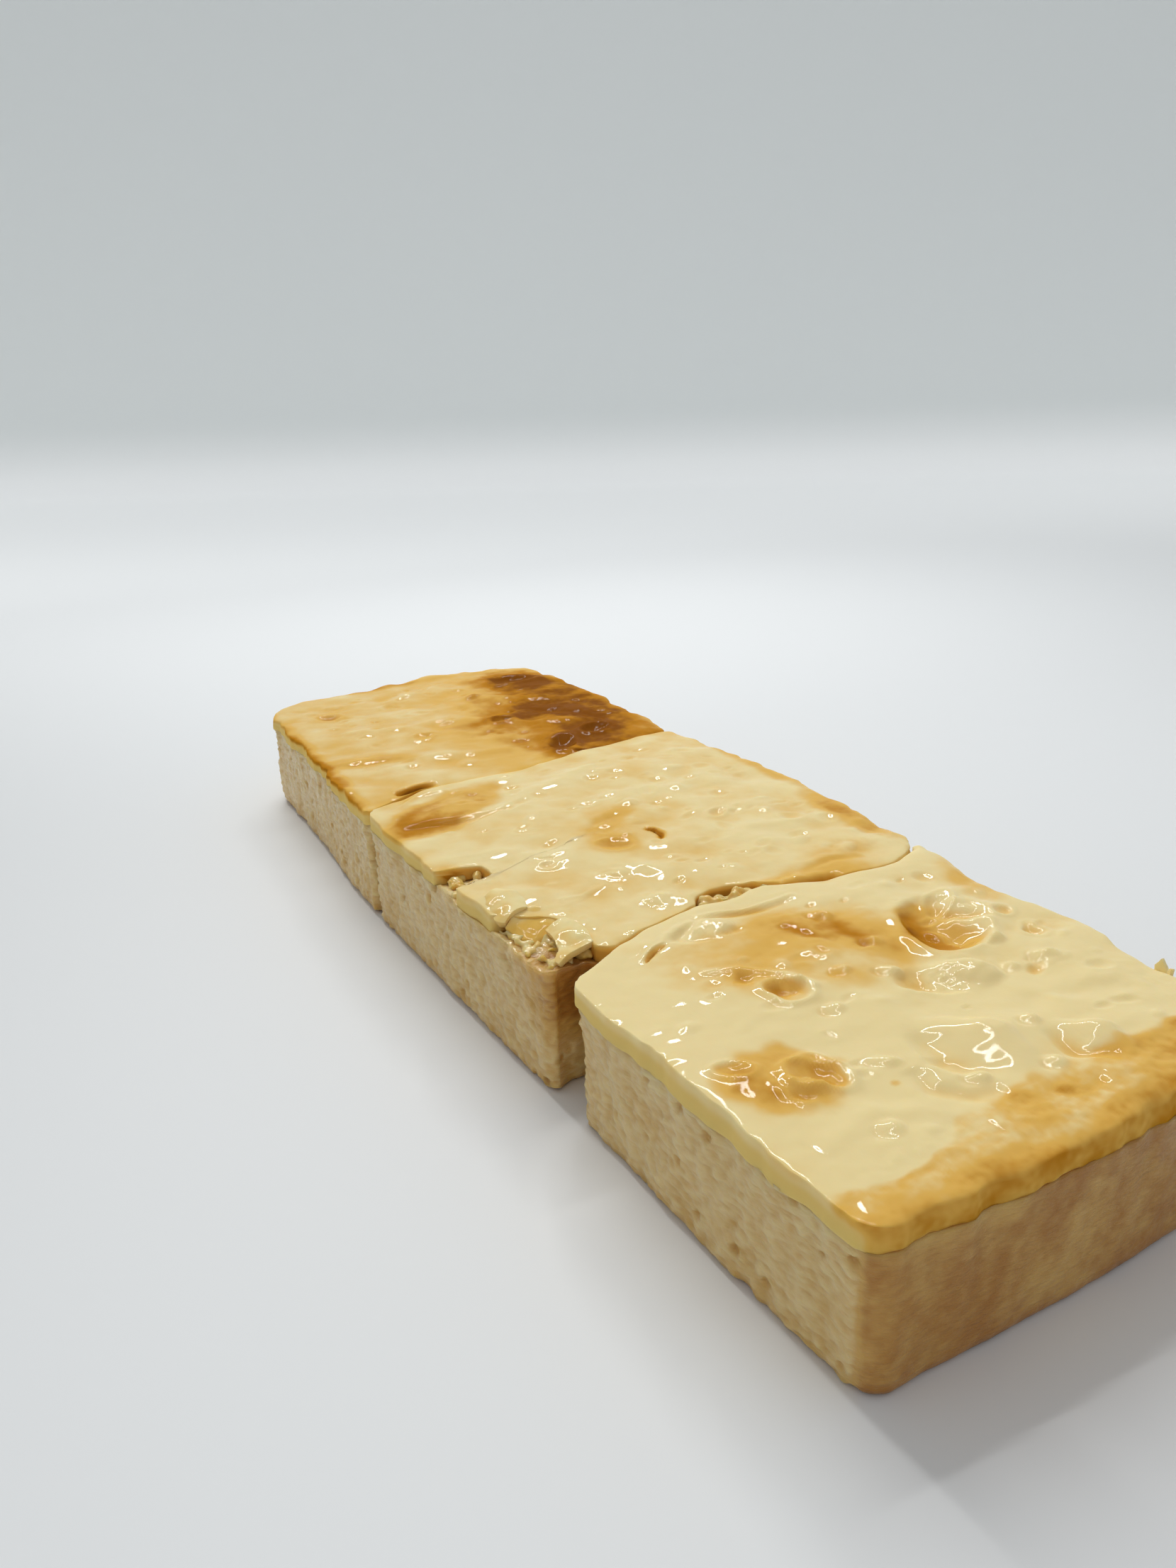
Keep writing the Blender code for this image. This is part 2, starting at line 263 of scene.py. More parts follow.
@dataclass
class Outline:
    """The plan of a slice between four sides, anticlockwise from its near left corner."""

    sides: tuple[Side, Side, Side, Side]
    radii: Four
    blend: float = 2.5

    def corner(self, k: int, layer: Layer) -> Vector:
        """Where side k starts and the one before it ends. A cut's own end counts over an outer side's."""
        here, before = self.sides[k % 4], self.sides[k - 1]
        if here.cut:
            return here.at(0, layer)
        if before.cut:
            return before.at(1, layer)
        return (here.at(0, layer) + before.at(1, layer)) / 2

    def rim(self, k: int, share: float, layer: Layer) -> Vector:
        """The point a share of the way along side k, with the corners rounded.

        Args:
            k: The side, from 0 at the near end.
            share: From 0 to 1 along the side.
            layer: Which layer's outline is asked for.

        Returns:
            The point in mm.
        """
        start, end = self.corner(k, layer), self.corner((k + 1) % 4, layer)
        side = self.sides[k]
        point = side.at(share, layer)
        point += (start - side.at(0, layer)) * (1 - share) + (end - side.at(1, layer)) * share
        along = (end - start).normalized()
        length = (end - start).length
        before = (self.corner(k - 1, layer) - start).normalized()
        after = (self.corner((k + 2) % 4, layer) - end).normalized()
        for corner, away, other, run, radius in (
            (start, along, before, share * length, self.radii[k]),
            (end, -along, after, (1 - share) * length, self.radii[(k + 1) % 4]),
        ):
            if run < radius:
                turn = (1 - run / radius) * math.pi / 4
                arc = corner + away * radius * (1 - math.sin(turn))
                arc += other * radius * (1 - math.cos(turn))
                point = point.lerp(arc, min(1.0, (1 - run / radius) * self.blend))
        return point

    def eased(self) -> "Outline":
        """The same outline with its raggedness taken off."""
        even = [replace(side, path=replace(side.path, ragged=0.0)) for side in self.sides]
        return Outline((even[0], even[1], even[2], even[3]), self.radii)

    def edge(self, k: int, count: int, layer: Layer) -> np.ndarray:
        """Side k as count + 1 evenly spread points, as rows of x, y."""
        return np.array([self.rim(k, i / count, layer) for i in range(count + 1)])

    def loop(self, count: int, layer: Layer) -> np.ndarray:
        """The whole outline as four times count points, as rows of x, y."""
        return np.concatenate([self.edge(k, count, layer)[:-1] for k in range(4)])


@dataclass(frozen=True)
class Mark:
    """A blister, crater or dimple: an oval with a floor that rises, sinks or leans inside a rim."""

    x: float
    y: float
    long: float
    short: float
    turn: float = 0.0
    floor: float = 0.0
    rim: float = 0.0
    rim_width: float = 0.32
    lobes: float = 0.0
    lobe_count: int = 3
    lean: float = 0.0
    bake: float = 0.0
    flat: float = 2.0
    second_lobes: float = 0.6
    rim_at: float = 1.05
    bake_from: float = 0.55
    bake_to: float = 1.25

    def reach(self, points: np.ndarray) -> np.ndarray:
        """How far out each point lies, where 1 is on the oval."""
        d = points - (self.x, self.y)
        c, s = math.cos(math.radians(self.turn)), math.sin(math.radians(self.turn))
        a = (d[:, 0] * c + d[:, 1] * s) / self.long
        b = (d[:, 1] * c - d[:, 0] * s) / self.short
        q = np.hypot(a, b)
        if self.lobes:
            around = np.arctan2(b, a)
            wave = np.cos(self.lobe_count * around + self.x)
            wave += self.second_lobes * np.cos((self.lobe_count + 2) * around + self.y)
            q = q / (1 + self.lobes * wave)
        return q

    def heights(self, points: np.ndarray) -> np.ndarray:
        """The mark's height in mm at each point."""
        q = self.reach(points)
        bowl = self.floor * np.clip(1 - q**self.flat, 0, 1) ** 1.5
        if self.lean:
            along = (points - (self.x, self.y)) @ LEAN_WAY
            bowl = bowl + self.lean * along * np.clip(1 - q**4, 0, 1) ** 2
        return bowl + self.rim * np.exp(-(((q - self.rim_at) / self.rim_width) ** 2))

    def browning(self, points: np.ndarray) -> np.ndarray:
        """How much the mark is browned at each point."""
        return self.bake * (1 - ease(self.reach(points), self.bake_from, self.bake_to))


@dataclass(frozen=True)
class Fold:
    """A slit, crack or ridge along a short line, with a lip that may stand up on its left."""

    points: tuple[Pair, ...]
    width: float
    height: float
    lip: float = 0.0
    bake: float = 0.0
    lip_at: float = 2.0
    lip_width: float = 1.4
    bake_width: float = 1.6

    def nearest(self, points: np.ndarray) -> tuple[np.ndarray, np.ndarray]:
        """The line's distance from each point.

        Args:
            points: Rows of x, y in mm.

        Returns:
            The distance in mm, positive to the left of the line, and how much is left of the fold
            there, as it fades to its ends.
        """
        best = np.full(len(points), np.inf)
        signed = np.zeros(len(points))
        share = np.zeros(len(points))
        count = len(self.points) - 1
        for i, (start, end) in enumerate(zip(self.points, self.points[1:])):
            a, run = np.array(start), np.array(end) - np.array(start)
            t = np.clip(((points - a) @ run) / (run @ run), 0, 1)
            away = points - (a + t[:, None] * run)
            distance = np.hypot(away[:, 0], away[:, 1])
            closer = distance < best
            left = np.sign(run[0] * away[:, 1] - run[1] * away[:, 0])
            best = np.where(closer, distance, best)
            signed = np.where(closer, distance * left, signed)
            share = np.where(closer, (i + t) / count, share)
        return signed, np.clip(4 * share * (1 - share), 0, 1) ** 0.5

    def heights(self, points: np.ndarray) -> np.ndarray:
        """The fold's height in mm at each point."""
        signed, fade = self.nearest(points)
        line = self.height * np.exp(-((signed / self.width) ** 2))
        beside = (signed - self.lip_at * self.width) / (self.lip_width * self.width)
        return fade * (line + self.lip * np.exp(-(beside**2)))

    def browning(self, points: np.ndarray) -> np.ndarray:
        """How much the fold is browned at each point; along slits and cracks it is partly painted shade in
        the crease.
        """
        signed, fade = self.nearest(points)
        return self.bake * fade * np.exp(-((signed / (self.bake_width * self.width)) ** 2))


@dataclass(frozen=True)
class Stain:
    """A soft patch of browning, an oval with a wandering edge."""

    x: float
    y: float
    long: float
    short: float
    turn: float
    bake: float
    soft: float = 0.5
    outer: float = 0.6
    wander: float = 0.28

    def browning(self, points: np.ndarray) -> np.ndarray:
        """How much the patch browns the custard at each point."""
        q = Mark(self.x, self.y, self.long, self.short, self.turn).reach(points)
        q = q + self.wander * lumpy(points, (Lumps(1.0, 7.0, self.x), Lumps(0.5, 3.0, self.y)))
        return self.bake * (1 - ease(q, 1 - self.soft, 1 + self.soft * self.outer))


# Cuts and outer sides in mm, from left to right and from near to far, as the solids have them
FIRST_CUT = Cut({Layer.CUSTARD: 1.9, Layer.CASSAVA: 2.9}, ((0.47, 0.055, 1.0),))
SECOND_CUT = Cut({Layer.CUSTARD: 0.0, Layer.CASSAVA: 0.0}, ((0.15, 0.07, 0.5),), 0.16)
CUT_ONE = Path(
    ((-38, -47.5), (-29.5, -44.6), (-20, -41.9), (-8, -38.6), (1, -38.2), (9, -41.2), (25, -44), (35, -39.6)),
    ragged=0.4,
    layer=1.5,
)
CUT_TWO = Path(((-38, 26), (-25, 31.6), (0, 33.6), (38, 39.8)), ragged=0.3, layer=2.5)
NEAR_END = Path(((-38, -109), (-4, -109.4), (31.5, -107.4)), ragged=0.7, layer=3.5)
FAR_END = Path(((38.5, 108.6), (20, 112.6), (-8, 111.2), (-33, 109)), ragged=1.0, layer=4.5)
NEAR_RIGHT = Path(((31.5, -107.4), (30.2, -88), (33.4, -72), (31.2, -61), (35, -39.6)), layer=5.5)
MIDDLE_RIGHT = Path(((35, -39.6), (37, -23), (40.2, 3), (38.6, 24), (38, 39.8)), ragged=0.8, layer=6.5)
FAR_RIGHT = Path(((38, 39.8), (39.2, 62), (39.8, 82), (38.5, 108.6)), ragged=1.0, layer=7.5)
NEAR_LEFT = Path(((-38, -109), (-38.6, -78), (-38, -47.5)), ragged=0.6, layer=8.5)
CHIP = ((0.475, 6.4, 1.9),)
BAYS = ((0.504, 5.0, 7.6), (0.02, 19.0, 8.4))
MIDDLE_LEFT = Path(((-38, -47.5), (-38.2, -20), (-38, 26)), ragged=0.5, layer=9.5, dents=BAYS)
FAR_LEFT = Path(((-38, 26), (-36.6, 48), (-34.6, 72), (-33, 109)), ragged=0.9, layer=10.5)

OUTLINES = {
    Place.NEAR: Outline(
        (Side(NEAR_END), Side(NEAR_RIGHT), Side(CUT_ONE, True, FIRST_CUT), Side(NEAR_LEFT, True)),
        (3.5, 4.5, 2.6, 2.2),
    ),
    Place.MIDDLE: Outline(
        (
            Side(replace(CUT_ONE, dents=CHIP), False, FIRST_CUT, TORN_CORNER),
            Side(MIDDLE_RIGHT),
            Side(CUT_TWO, True, SECOND_CUT),
            Side(MIDDLE_LEFT, True),
        ),
        (2.0, 2.6, 2.4, 2.0),
    ),
    Place.FAR: Outline(
        (Side(CUT_TWO, False, SECOND_CUT), Side(FAR_RIGHT), Side(FAR_END), Side(FAR_LEFT, True)),
        (2.0, 2.4, 6.0, 12.0),
    ),
}

MARKS = {
    Place.NEAR: (
        Mark(16.2, -64.3, 9.2, 6.8, 50, floor=-1.7, rim=0.2, rim_width=0.16, lobes=0.05, lean=0.13,
             bake=0.16, flat=4),
        Mark(20.6, -58.6, 3.6, 2.0, 30, floor=-0.4, rim=0.2, rim_width=0.2),
        Mark(18.0, -66.0, 5.0, 3.8, -35, floor=0.4, lobes=0.08, lean=0.4, bake=-0.12),
        Mark(20.6, -61.0, 3.6, 2.8, -30, floor=0.3, lobes=0.1, lean=0.36, bake=-0.1),
        Mark(13.4, -64.8, 2.6, 2.0, -30, floor=0.2, lean=0.44, bake=-0.05),
        Mark(17.4, -72.0, 2.4, 1.7, 0, floor=0.3, lean=0.46, bake=-0.1),
        Mark(-15.4, -68.2, 3.4, 2.9, -50, floor=-0.95, rim=0.34, rim_width=0.2, lobes=0.06, bake=0.04),
        Mark(-16.6, -66.8, 1.6, 1.6, 0, floor=-0.35, bake=0.1),
        Mark(-15.2, -69.4, 1.5, 1.2, 0, floor=0.34),
        Mark(-13.6, -67.6, 1.6, 1.1, 40, floor=0.2, lean=0.36),
        Mark(-24.6, -84.8, 3.9, 3.2, -50, floor=-0.5, rim=0.42, rim_width=0.2, lobes=0.09, bake=0.08),
        Mark(-27.6, -87.2, 2.9, 1.9, -10, floor=0.35, rim=0.15, rim_width=0.3, lean=0.3),
        Mark(-28.3, -83.2, 7.4, 6.0, -15, floor=0.4, lobes=0.05),
        Mark(-32.6, -79.6, 2.6, 1.7, -30, floor=-0.35, rim=0.2, rim_width=0.2),
        Mark(-5.6, -89.8, 8.4, 6.8, -60, floor=0.1, lobes=0.04, lobe_count=4, lean=0.3),
        Mark(7.1, -96.6, 6.0, 4.6, -65, floor=0.1, lobes=0.06, lobe_count=4, lean=0.38),
        # Its negative browning makes a paler patch, partly painted sheen
        Mark(5.0, -76.2, 8.4, 4.2, -20, floor=0.1, lean=0.38, bake=-0.05),
        Mark(13.3, -78.4, 2.3, 1.7, 0, floor=0.2, lean=0.44),
        # Its negative browning makes a paler patch, partly painted sheen
        Mark(-14.8, -47.8, 6.0, 3.4, 0, floor=0.1, lean=0.26, bake=-0.05),
        Mark(6.2, -97.4, 1.3, 1.0, 0, floor=0.2),
        Mark(-0.3, -97.6, 2.1, 1.7, 0, floor=0.3, lean=0.42),
        Mark(4.3, -89.8, 2.0, 1.6, 0, floor=0.2, lean=0.44),
        Mark(18.6, -97.3, 1.5, 1.1, 20, floor=0.28),
        Mark(-17.2, -86.8, 3.2, 1.4, -30, floor=0.2, lean=0.33),
        Mark(-25.3, -97.2, 2.4, 1.9, 10, floor=0.25, lean=0.3),
        Mark(-10.0, -94.8, 2.4, 1.6, -10, floor=0.2, lean=0.38),
        Mark(19.2, -79.0, 2.9, 1.9, -20, floor=0.36, rim=0.1, rim_width=0.2, lobes=0.1, lean=0.44),
        Mark(16.4, -80.6, 2.2, 1.4, 20, floor=-0.5, bake=0.1),
        Mark(25.7, -66.2, 1.8, 1.5, 0, floor=-0.35, rim=0.2, rim_width=0.25, bake=0.12),
        Mark(25.3, -72.4, 2.4, 1.8, 60, floor=-0.1, rim=0.2, rim_width=0.25, lobes=0.1, lean=0.46, bake=0.04),
        Mark(27.0, -76.0, 1.6, 1.2, 30, floor=0.3, rim=0.05),
        Mark(26.8, -81.9, 1.0, 0.8, 0, floor=0.14),
        Mark(2.5, -52.6, 2.7, 1.9, -25, floor=0.22, lean=0.42, bake=0.05),
        Mark(3.7, -49.3, 0.9, 0.7, 10, floor=-0.2, bake=0.1),
        Mark(8.8, -51.0, 0.9, 0.7, 10, floor=-0.2, rim=0.08, bake=0.06),
        Mark(8.9, -54.4, 1.1, 0.7, -30, floor=0.18),
        Mark(2.5, -63.5, 2.3, 1.7, -20, floor=0.2, rim=0.06, lean=0.42, bake=0.05),
        Mark(-6.5, -67.7, 2.2, 1.5, 0, floor=0.2, lean=0.39, bake=0.08),
        Mark(-1.3, -71.1, 2.6, 1.6, -25, floor=0.2, lean=0.4),
        Mark(-15.1, -58.1, 1.2, 1.0, 0, floor=0.22),
        Mark(14.7, -55.7, 0.6, 0.5, 0, floor=-0.16, bake=0.1),
        Mark(-31.7, -69.0, 2.4, 1.5, 10, floor=0.25),
        Mark(-25.7, -72.3, 2.0, 1.4, 30, floor=0.12),
        Mark(-13.9, -74.7, 2.3, 1.6, 0, floor=0.2, lean=0.35),
    ),
    Place.MIDDLE: (
        Mark(-7.9, -12.4, 3.4, 3.0, 0, floor=-0.3, rim=0.12, rim_width=0.12),
        Mark(-13.5, -22.6, 2.6, 1.9, 30, floor=0.35, rim=0.1, rim_width=0.2, lobes=0.12),
        Mark(-13.0, -34.0, 3.0, 2.2, 10, floor=0.42, rim=0.1, rim_width=0.2, lobes=0.16),
        Mark(-14.4, 5.7, 1.3, 1.0, 0, floor=0.22),
        Mark(-28.8, 8.7, 1.6, 1.1, 0, floor=0.28),
        Mark(-12.6, -7.3, 1.2, 0.9, 0, floor=0.2),
        Mark(-3.7, -9.6, 1.2, 0.9, 0, floor=0.2),
        Mark(-24.3, -20.4, 1.5, 1.1, 0, floor=0.22),
        Mark(-21.3, -13.8, 1.7, 1.2, 0, floor=-0.25, rim=0.1),
        Mark(-2.4, -21.4, 1.7, 1.2, 0, floor=0.25),
        Mark(15.5, -9.5, 2.4, 1.5, 20, floor=-0.35, rim=0.15),
        Mark(4.5, 3.1, 2.8, 1.8, 20, floor=0.35, lean=0.1),
        Mark(22.6, -34.8, 3.6, 2.0, 10, floor=0.4, lean=0.12),
        Mark(19.2, -27.6, 3.0, 1.7, 10, floor=0.35, lean=0.1),
        Mark(26.8, -7.8, 2.2, 1.4, 10, floor=0.3),
        Mark(22.6, 15.5, 3.0, 1.8, 10, floor=0.35),
        Mark(8.5, 25.2, 2.6, 1.6, 10, floor=0.3),
        Mark(8.4, -39.6, 3.0, 1.7, -10, floor=0.5, rim=0.1, rim_width=0.3),
        Mark(-24, 18, 11, 6.0, 25, floor=0.65),
    ),
    Place.FAR: (
        Mark(24.6, 48.8, 4.6, 3.0, 10, floor=-1.0, rim=0.35, rim_width=0.25),
        Mark(12.8, 43.0, 5.2, 3.2, 60, floor=-0.9, rim=0.35, rim_width=0.25),
        Mark(13.6, 36.4, 1.6, 1.1, 0, floor=-0.6, rim=0.1, bake=0.3),
        Mark(9.2, 64.6, 3.4, 2.0, 10, floor=-0.8, rim=0.3, rim_width=0.25),
        Mark(11.9, 86.0, 2.6, 1.8, 20, floor=0.5, bake=0.15),
        Mark(27.5, 96.5, 7.0, 4.0, 0, floor=-0.9, rim=0.4),
        Mark(-22.8, 91.2, 3.2, 2.4, 0, floor=-0.5, rim=0.2),
        Mark(-10.5, 63.9, 3.0, 2.0, 30, floor=-0.4, rim=0.2),
        Mark(-9.5, 43.1, 3.2, 2.2, 30, floor=0.4),
        Mark(-27.0, 55.4, 6.5, 2.4, -20, floor=0.5),
    ),
}

FOLDS = {
    Place.NEAR: (
        Fold(((-26.6, -51.3), (-25.2, -50.2), (-23.4, -49.2), (-21.4, -48.6)), 0.27, -0.9,
             lip=0.45, bake=0.35),
        Fold(((-21.4, -48.6), (-17.5, -46.6), (-13.6, -45.2)), 0.5, -0.25, lip=0.3),
        Fold(((-13.6, -43.4), (-8.3, -44.2), (-5.1, -45.0), (-0.9, -44.9), (4.5, -44.6)), 0.5, 0.5,
             bake=0.08),
        Fold(((-12.4, -44.8), (-8.0, -45.4), (-2.7, -46.2), (3.5, -45.8)), 0.45, -0.3, bake=0.08),
        Fold(((-15.1, -89.9), (-15.8, -93.8), (-12.6, -97.2), (-8.6, -98.2)), 1.4, -0.6, lip=0.15),
        Fold(((-22.2, -58.0), (-18.0, -60.1), (-15.2, -62.4), (-12.9, -65.5), (-12.2, -70.0)), 0.75, 0.5),
        Fold(((-19.6, -61.8), (-17.4, -63.6)), 1.1, -0.4, bake=0.12),
        Fold(((-26.9, -81.2), (-23.9, -82.0), (-21.8, -84.6), (-22.2, -88.0)), 0.5, 0.4),
        Fold(((-29.2, -85.0), (-26.4, -85.2), (-25.2, -87.2)), 0.5, 0.35),
        # Browned lip along the large crater's left and far rim, partly painted shade under the lip
        Fold(((9.0, -69.6), (9.6, -64.6), (12.6, -59.6), (17.6, -57.2)), 0.9, -0.3, lip=0.2, bake=0.2),
        Fold(((9.2, -70.4), (12.6, -72.6), (17.6, -72.0), (22.0, -68.2)), 0.6, 0.22),
        Fold(((-4, -52), (-3.4, -57), (-0.8, -60.8)), 0.9, -0.22, lip=0.12, bake=0.12),
        Fold(((3.4, -54.4), (1.8, -59.4), (3.4, -63.0)), 0.8, -0.2, bake=0.1),
        Fold(((-34, -96), (-24, -93.5), (-16, -99)), 1.6, 0.3),
        Fold(((8, -86), (16, -88), (26, -92)), 1.7, -0.3, lip=0.15),
        Fold(((22, -50), (24, -56), (29, -60)), 1.6, 0.25),
    ),
    Place.MIDDLE: (
        Fold(((0.4, -8.6), (1.7, -9.8), (1.7, -12.2), (0.2, -14.6)), 0.45, -0.8, lip=0.3, bake=0.6),
        Fold(((-4.8, -36.2), (-1.6, -37.2), (2.4, -37.6), (6.0, -39.4)), 0.9, 0.55, bake=0.05),
        Fold(((3.0, -41.0), (9.0, -41.9), (15.6, -42.0)), 0.9, -0.5, lip=0.2, bake=0.2),
        Fold(((12.0, -38.0), (18.0, -37.2), (24.0, -39.0)), 0.8, -0.25, lip=0.2, bake=0.12),
        Fold(((-27.1, -26.6), (-22.5, -26.8), (-16.5, -24.8)), 0.5, 0.2),
        Fold(((-9.6, -7.0), (-5.6, -2.2), (0.4, 0.2)), 0.9, -0.22, lip=0.12),
        Fold(((-33, 24), (-27, 29), (-20, 29.4)), 0.7, 0.3, bake=0.1),
        Fold(((-36, 14.6), (-26, 12.6), (-15, 13.2), (-9, 16)), 0.8, -0.3, lip=0.15),
        Fold(((-18, 22), (-4, 20), (12, 26)), 1.7, 0.28),
        Fold(((4, 10), (16, 6), (30, 12)), 1.8, 0.3),
        Fold(((-27.5, -29.0), (-23.0, -27.6), (-18.5, -24.6)), 0.35, 0.14),
        Fold(((6, -22), (16, -18), (30, -22)), 1.8, 0.3),
    ),
    Place.FAR: (
        Fold(((-29.6, 32.6), (-27, 32.8), (-24.5, 33.4), (-20.5, 33.8)), 0.6, -1.0, lip=0.3, bake=0.6),
        Fold(((2, 72), (14, 60), (30, 55)), 2.0, 0.5),
        Fold(((6, 90), (18, 82), (34, 74)), 2.2, 0.5),
        Fold(((18, 72), (27, 62), (31, 54)), 1.5, -0.5, bake=0.12),
        Fold(((-24, 76), (-10, 72), (2, 76)), 2.0, 0.4),
        Fold(((-26, 45), (-12, 50), (4, 46)), 2.0, 0.35),
        Fold(((-20, 100), (-6, 96), (8, 101)), 2.0, 0.35),
    ),
}

STAINS = {
    Place.NEAR: (
        Stain(-8, -57.5, 20, 11, -14, 0.22, 0.5),
        Stain(3, -58.5, 14, 9.5, -35, 0.15, 0.6),
        Stain(-1.5, -56.5, 8.5, 5.6, -70, 0.1, 0.8),
        Stain(-6, -69.5, 9, 4, -20, 0.14, 0.7),
        # Browning on the large crater's left wall, partly painted shade on that wall
        Stain(11.2, -66.0, 3.4, 7.0, -18, 0.12, 0.7),
        Stain(-18, -64.5, 6.5, 4.5, -45, 0.1, 0.6),
        Stain(-28, -83.6, 8.2, 6.6, -20, 0.4, 0.35),
        Stain(-33.4, -84, 3.4, 7.0, 0, 0.14, 0.6),
        Stain(-25.5, -88.6, 4.6, 2.4, -20, 0.1, 0.6),
        Stain(30.2, -56, 11, 3.6, 72, 0.2, 0.6),
        Stain(25, -54, 10, 6, -60, 0.06, 0.8),
        Stain(-18.4, -90.8, 0.9, 0.7, 0, 0.25, 0.7),
        Stain(-8.9, -100.0, 2.0, 1.1, -30, 0.2, 0.7),
        Stain(-2.8, -102.5, 2.0, 1.1, -30, 0.2, 0.7),
    ),
    Place.MIDDLE: (
        Stain(-24.5, 19.5, 16, 6.4, 28, 0.34, 0.35),
        Stain(-31, 18.0, 8, 5.5, 40, 0.16, 0.6),
        Stain(-30, 14.2, 9, 2.2, 8, 0.12, 0.7),
        Stain(-4, -6, 13, 6.5, 52, 0.17, 0.6),
        Stain(-7.6, -12.2, 4.4, 4.0, 0, 0.14, 0.5),
        Stain(-1, -1, 7, 2.4, 35, 0.1, 0.7),
        Stain(34.2, -24, 15, 3.6, 86, 0.27, 0.6),
        Stain(34.2, -21.0, 5, 2.2, 88, 0.16, 0.7),
        Stain(38.6, 8, 24, 2.6, 88, 0.26, 0.7),
        Stain(12, -40.5, 11, 3.0, -10, 0.2, 0.6),
        Stain(18, -36, 9, 3.0, 10, 0.1, 0.7),
        Stain(-36, -8, 2.2, 5, 0, 0.2, 0.7),
        Stain(24, 22, 14, 7, 20, 0.05, 0.8),
    ),
    Place.FAR: (
        Stain(20, 66, 44, 20, 78, 0.2, 0.7),
        Stain(23, 66, 42, 16, 80, 0.22, 0.6),
        Stain(27, 64, 34, 11, 84, 0.24, 0.6),
        Stain(10.5, 66, 9, 3.4, 5, 0.3, 0.7),
        Stain(24, 66, 11, 5.0, -55, 0.3, 0.7),
        Stain(24.4, 49.2, 8, 4.6, 10, 0.4, 0.7),
        Stain(12.8, 43.2, 8, 5.0, 60, 0.34, 0.7),
        Stain(20, 39, 18, 4.6, 0, 0.2, 0.5),
        Stain(28, 96, 11, 9, 0, 0.44, 0.6),
        Stain(36.6, 60, 36, 3.6, 88, 0.26, 0.7),
        Stain(2, 62, 12, 8, 30, 0.14, 0.8),
        Stain(-27.3, 55.2, 8.5, 3.4, -15, 0.26, 0.6),
        Stain(-22.8, 91.2, 5, 4, 0, 0.16, 0.7),
        Stain(-10.5, 63.9, 4, 3, 0, 0.12, 0.7),
        Stain(-37, 62, 36, 3.6, 87, 0.42, 0.6),
        Stain(-14, 111, 26, 2.6, -4, 0.36, 0.7),
    ),
}

# Patches where the skin is finely crumpled: x, y, reach across and along in mm, and height in mm
CRUMPLES = {
    Place.NEAR: (
        (5.6, -76.4, 7.0, 3.6, 0.32),
        (-15.0, -47.4, 5.4, 2.6, 0.28),
        (-0.8, -50.0, 4.0, 3.0, 0.12),
        (-18.5, -60.0, 5.0, 2.4, 0.16),
        (-27.5, -86.0, 5.0, 4.0, 0.18),
        (-4.0, -103.5, 30.0, 4.4, 0.2),
        (18.0, -65.0, 5.0, 5.0, 0.1),
        (24.0, -88.0, 6.0, 8.0, 0.08),
    ),
    Place.MIDDLE: (
        (-29.8, -35.0, 3.2, 6.5, 0.2),
        (6.0, -40.0, 9.0, 2.2, 0.2),
        (22.5, -34.5, 6.0, 3.2, 0.16),
        (-13.4, -33.8, 2.6, 2.4, 0.2),
        (-13.6, -22.4, 2.4, 2.2, 0.2),
        (33.0, -34.0, 4.0, 6.0, 0.14),
        (-32.0, -10.0, 3.0, 8.0, 0.14),
    ),
    Place.FAR: (
        (22.0, 66.0, 12.0, 26.0, 0.12),
        (-28.0, 55.0, 6.0, 4.0, 0.12),
    ),
}


@dataclass(frozen=True)
class Strewn:
    """The small dimples, bubbles and dents strewn over one slice, in the area x, y to x, y in mm."""

    area: Four
    dimple_count: int
    dash_count: int
    tries: int = 20
    dimple_sizes: Pair = (1.2, 2.4)
    depths: tuple[float, ...] = (-0.14, -0.1, 0.14, 0.18)
    dimple_widths: Pair = (0.6, 1.0)
    dimple_turns: Pair = (0.0, 180.0)
    rim: float = 0.05
    dimple_rim_width: float = 0.25
    apart: float = 0.6
    dash_lengths: Pair = (1.0, 2.6)
    dash_widths: Pair = (0.4, 0.6)
    dash_depths: Pair = (0.1, 0.24)
    dash_turns: Pair = (-25.0, 25.0)

    def spot(self, rng: random.Random) -> Pair:
        """A place drawn from the area."""
        left, near, right, far = self.area
        return rng.uniform(left, right), rng.uniform(near, far)

    def dimples(self, rng: random.Random, avoid: tuple[Mark, ...]) -> list[Mark]:
        """Small dimples and bubbles, clear of the larger marks and of each other.

        Args:
            rng: The seeded draw.
            avoid: Marks to stay clear of.

        Returns:
            The dimples.
        """
        made: list[Mark] = []
        for _ in range(self.dimple_count * self.tries):
            size = rng.uniform(*self.dimple_sizes)
            x, y = self.spot(rng)
            if all(math.hypot(x - m.x, y - m.y) > m.long + size + self.apart for m in (*avoid, *made)):
                floor = rng.choice(self.depths) * size
                wide, turn = size * rng.uniform(*self.dimple_widths), rng.uniform(*self.dimple_turns)
                made.append(Mark(x, y, size, wide, turn, floor, self.rim, self.dimple_rim_width))
            if len(made) == self.dimple_count:
                break
        return made

    def dashes(self, rng: random.Random) -> list[Mark]:
        """Short shallow dents that lie across the slab, as a drying custard skin has."""
        made = []
        for _ in range(self.dash_count):
            long = rng.uniform(*self.dash_lengths)
            x, y = self.spot(rng)
            depth = -rng.uniform(*self.dash_depths)
            wide, turn = long * rng.uniform(*self.dash_widths), rng.uniform(*self.dash_turns)
            made.append(Mark(x, y, long, wide, turn, depth, self.rim))
        return made


STREWN = {
    Place.NEAR: Strewn((-25, -100, 28, -47), 16, 24),
    Place.MIDDLE: Strewn((-24, -32, 34, 30), 30, 60),
    Place.FAR: Strewn((-28, 44, 33, 104), 30, 60),
}

# What share of the rounding each edge has: left, right, near and far
CRISPNESS = {
    Place.NEAR: (0.15, 1.0, 1.0, 0.6),
    Place.MIDDLE: (0.3, 1.0, 0.5, 0.12),
    Place.FAR: (0.6, 1.0, 0.12, 1.0),
}


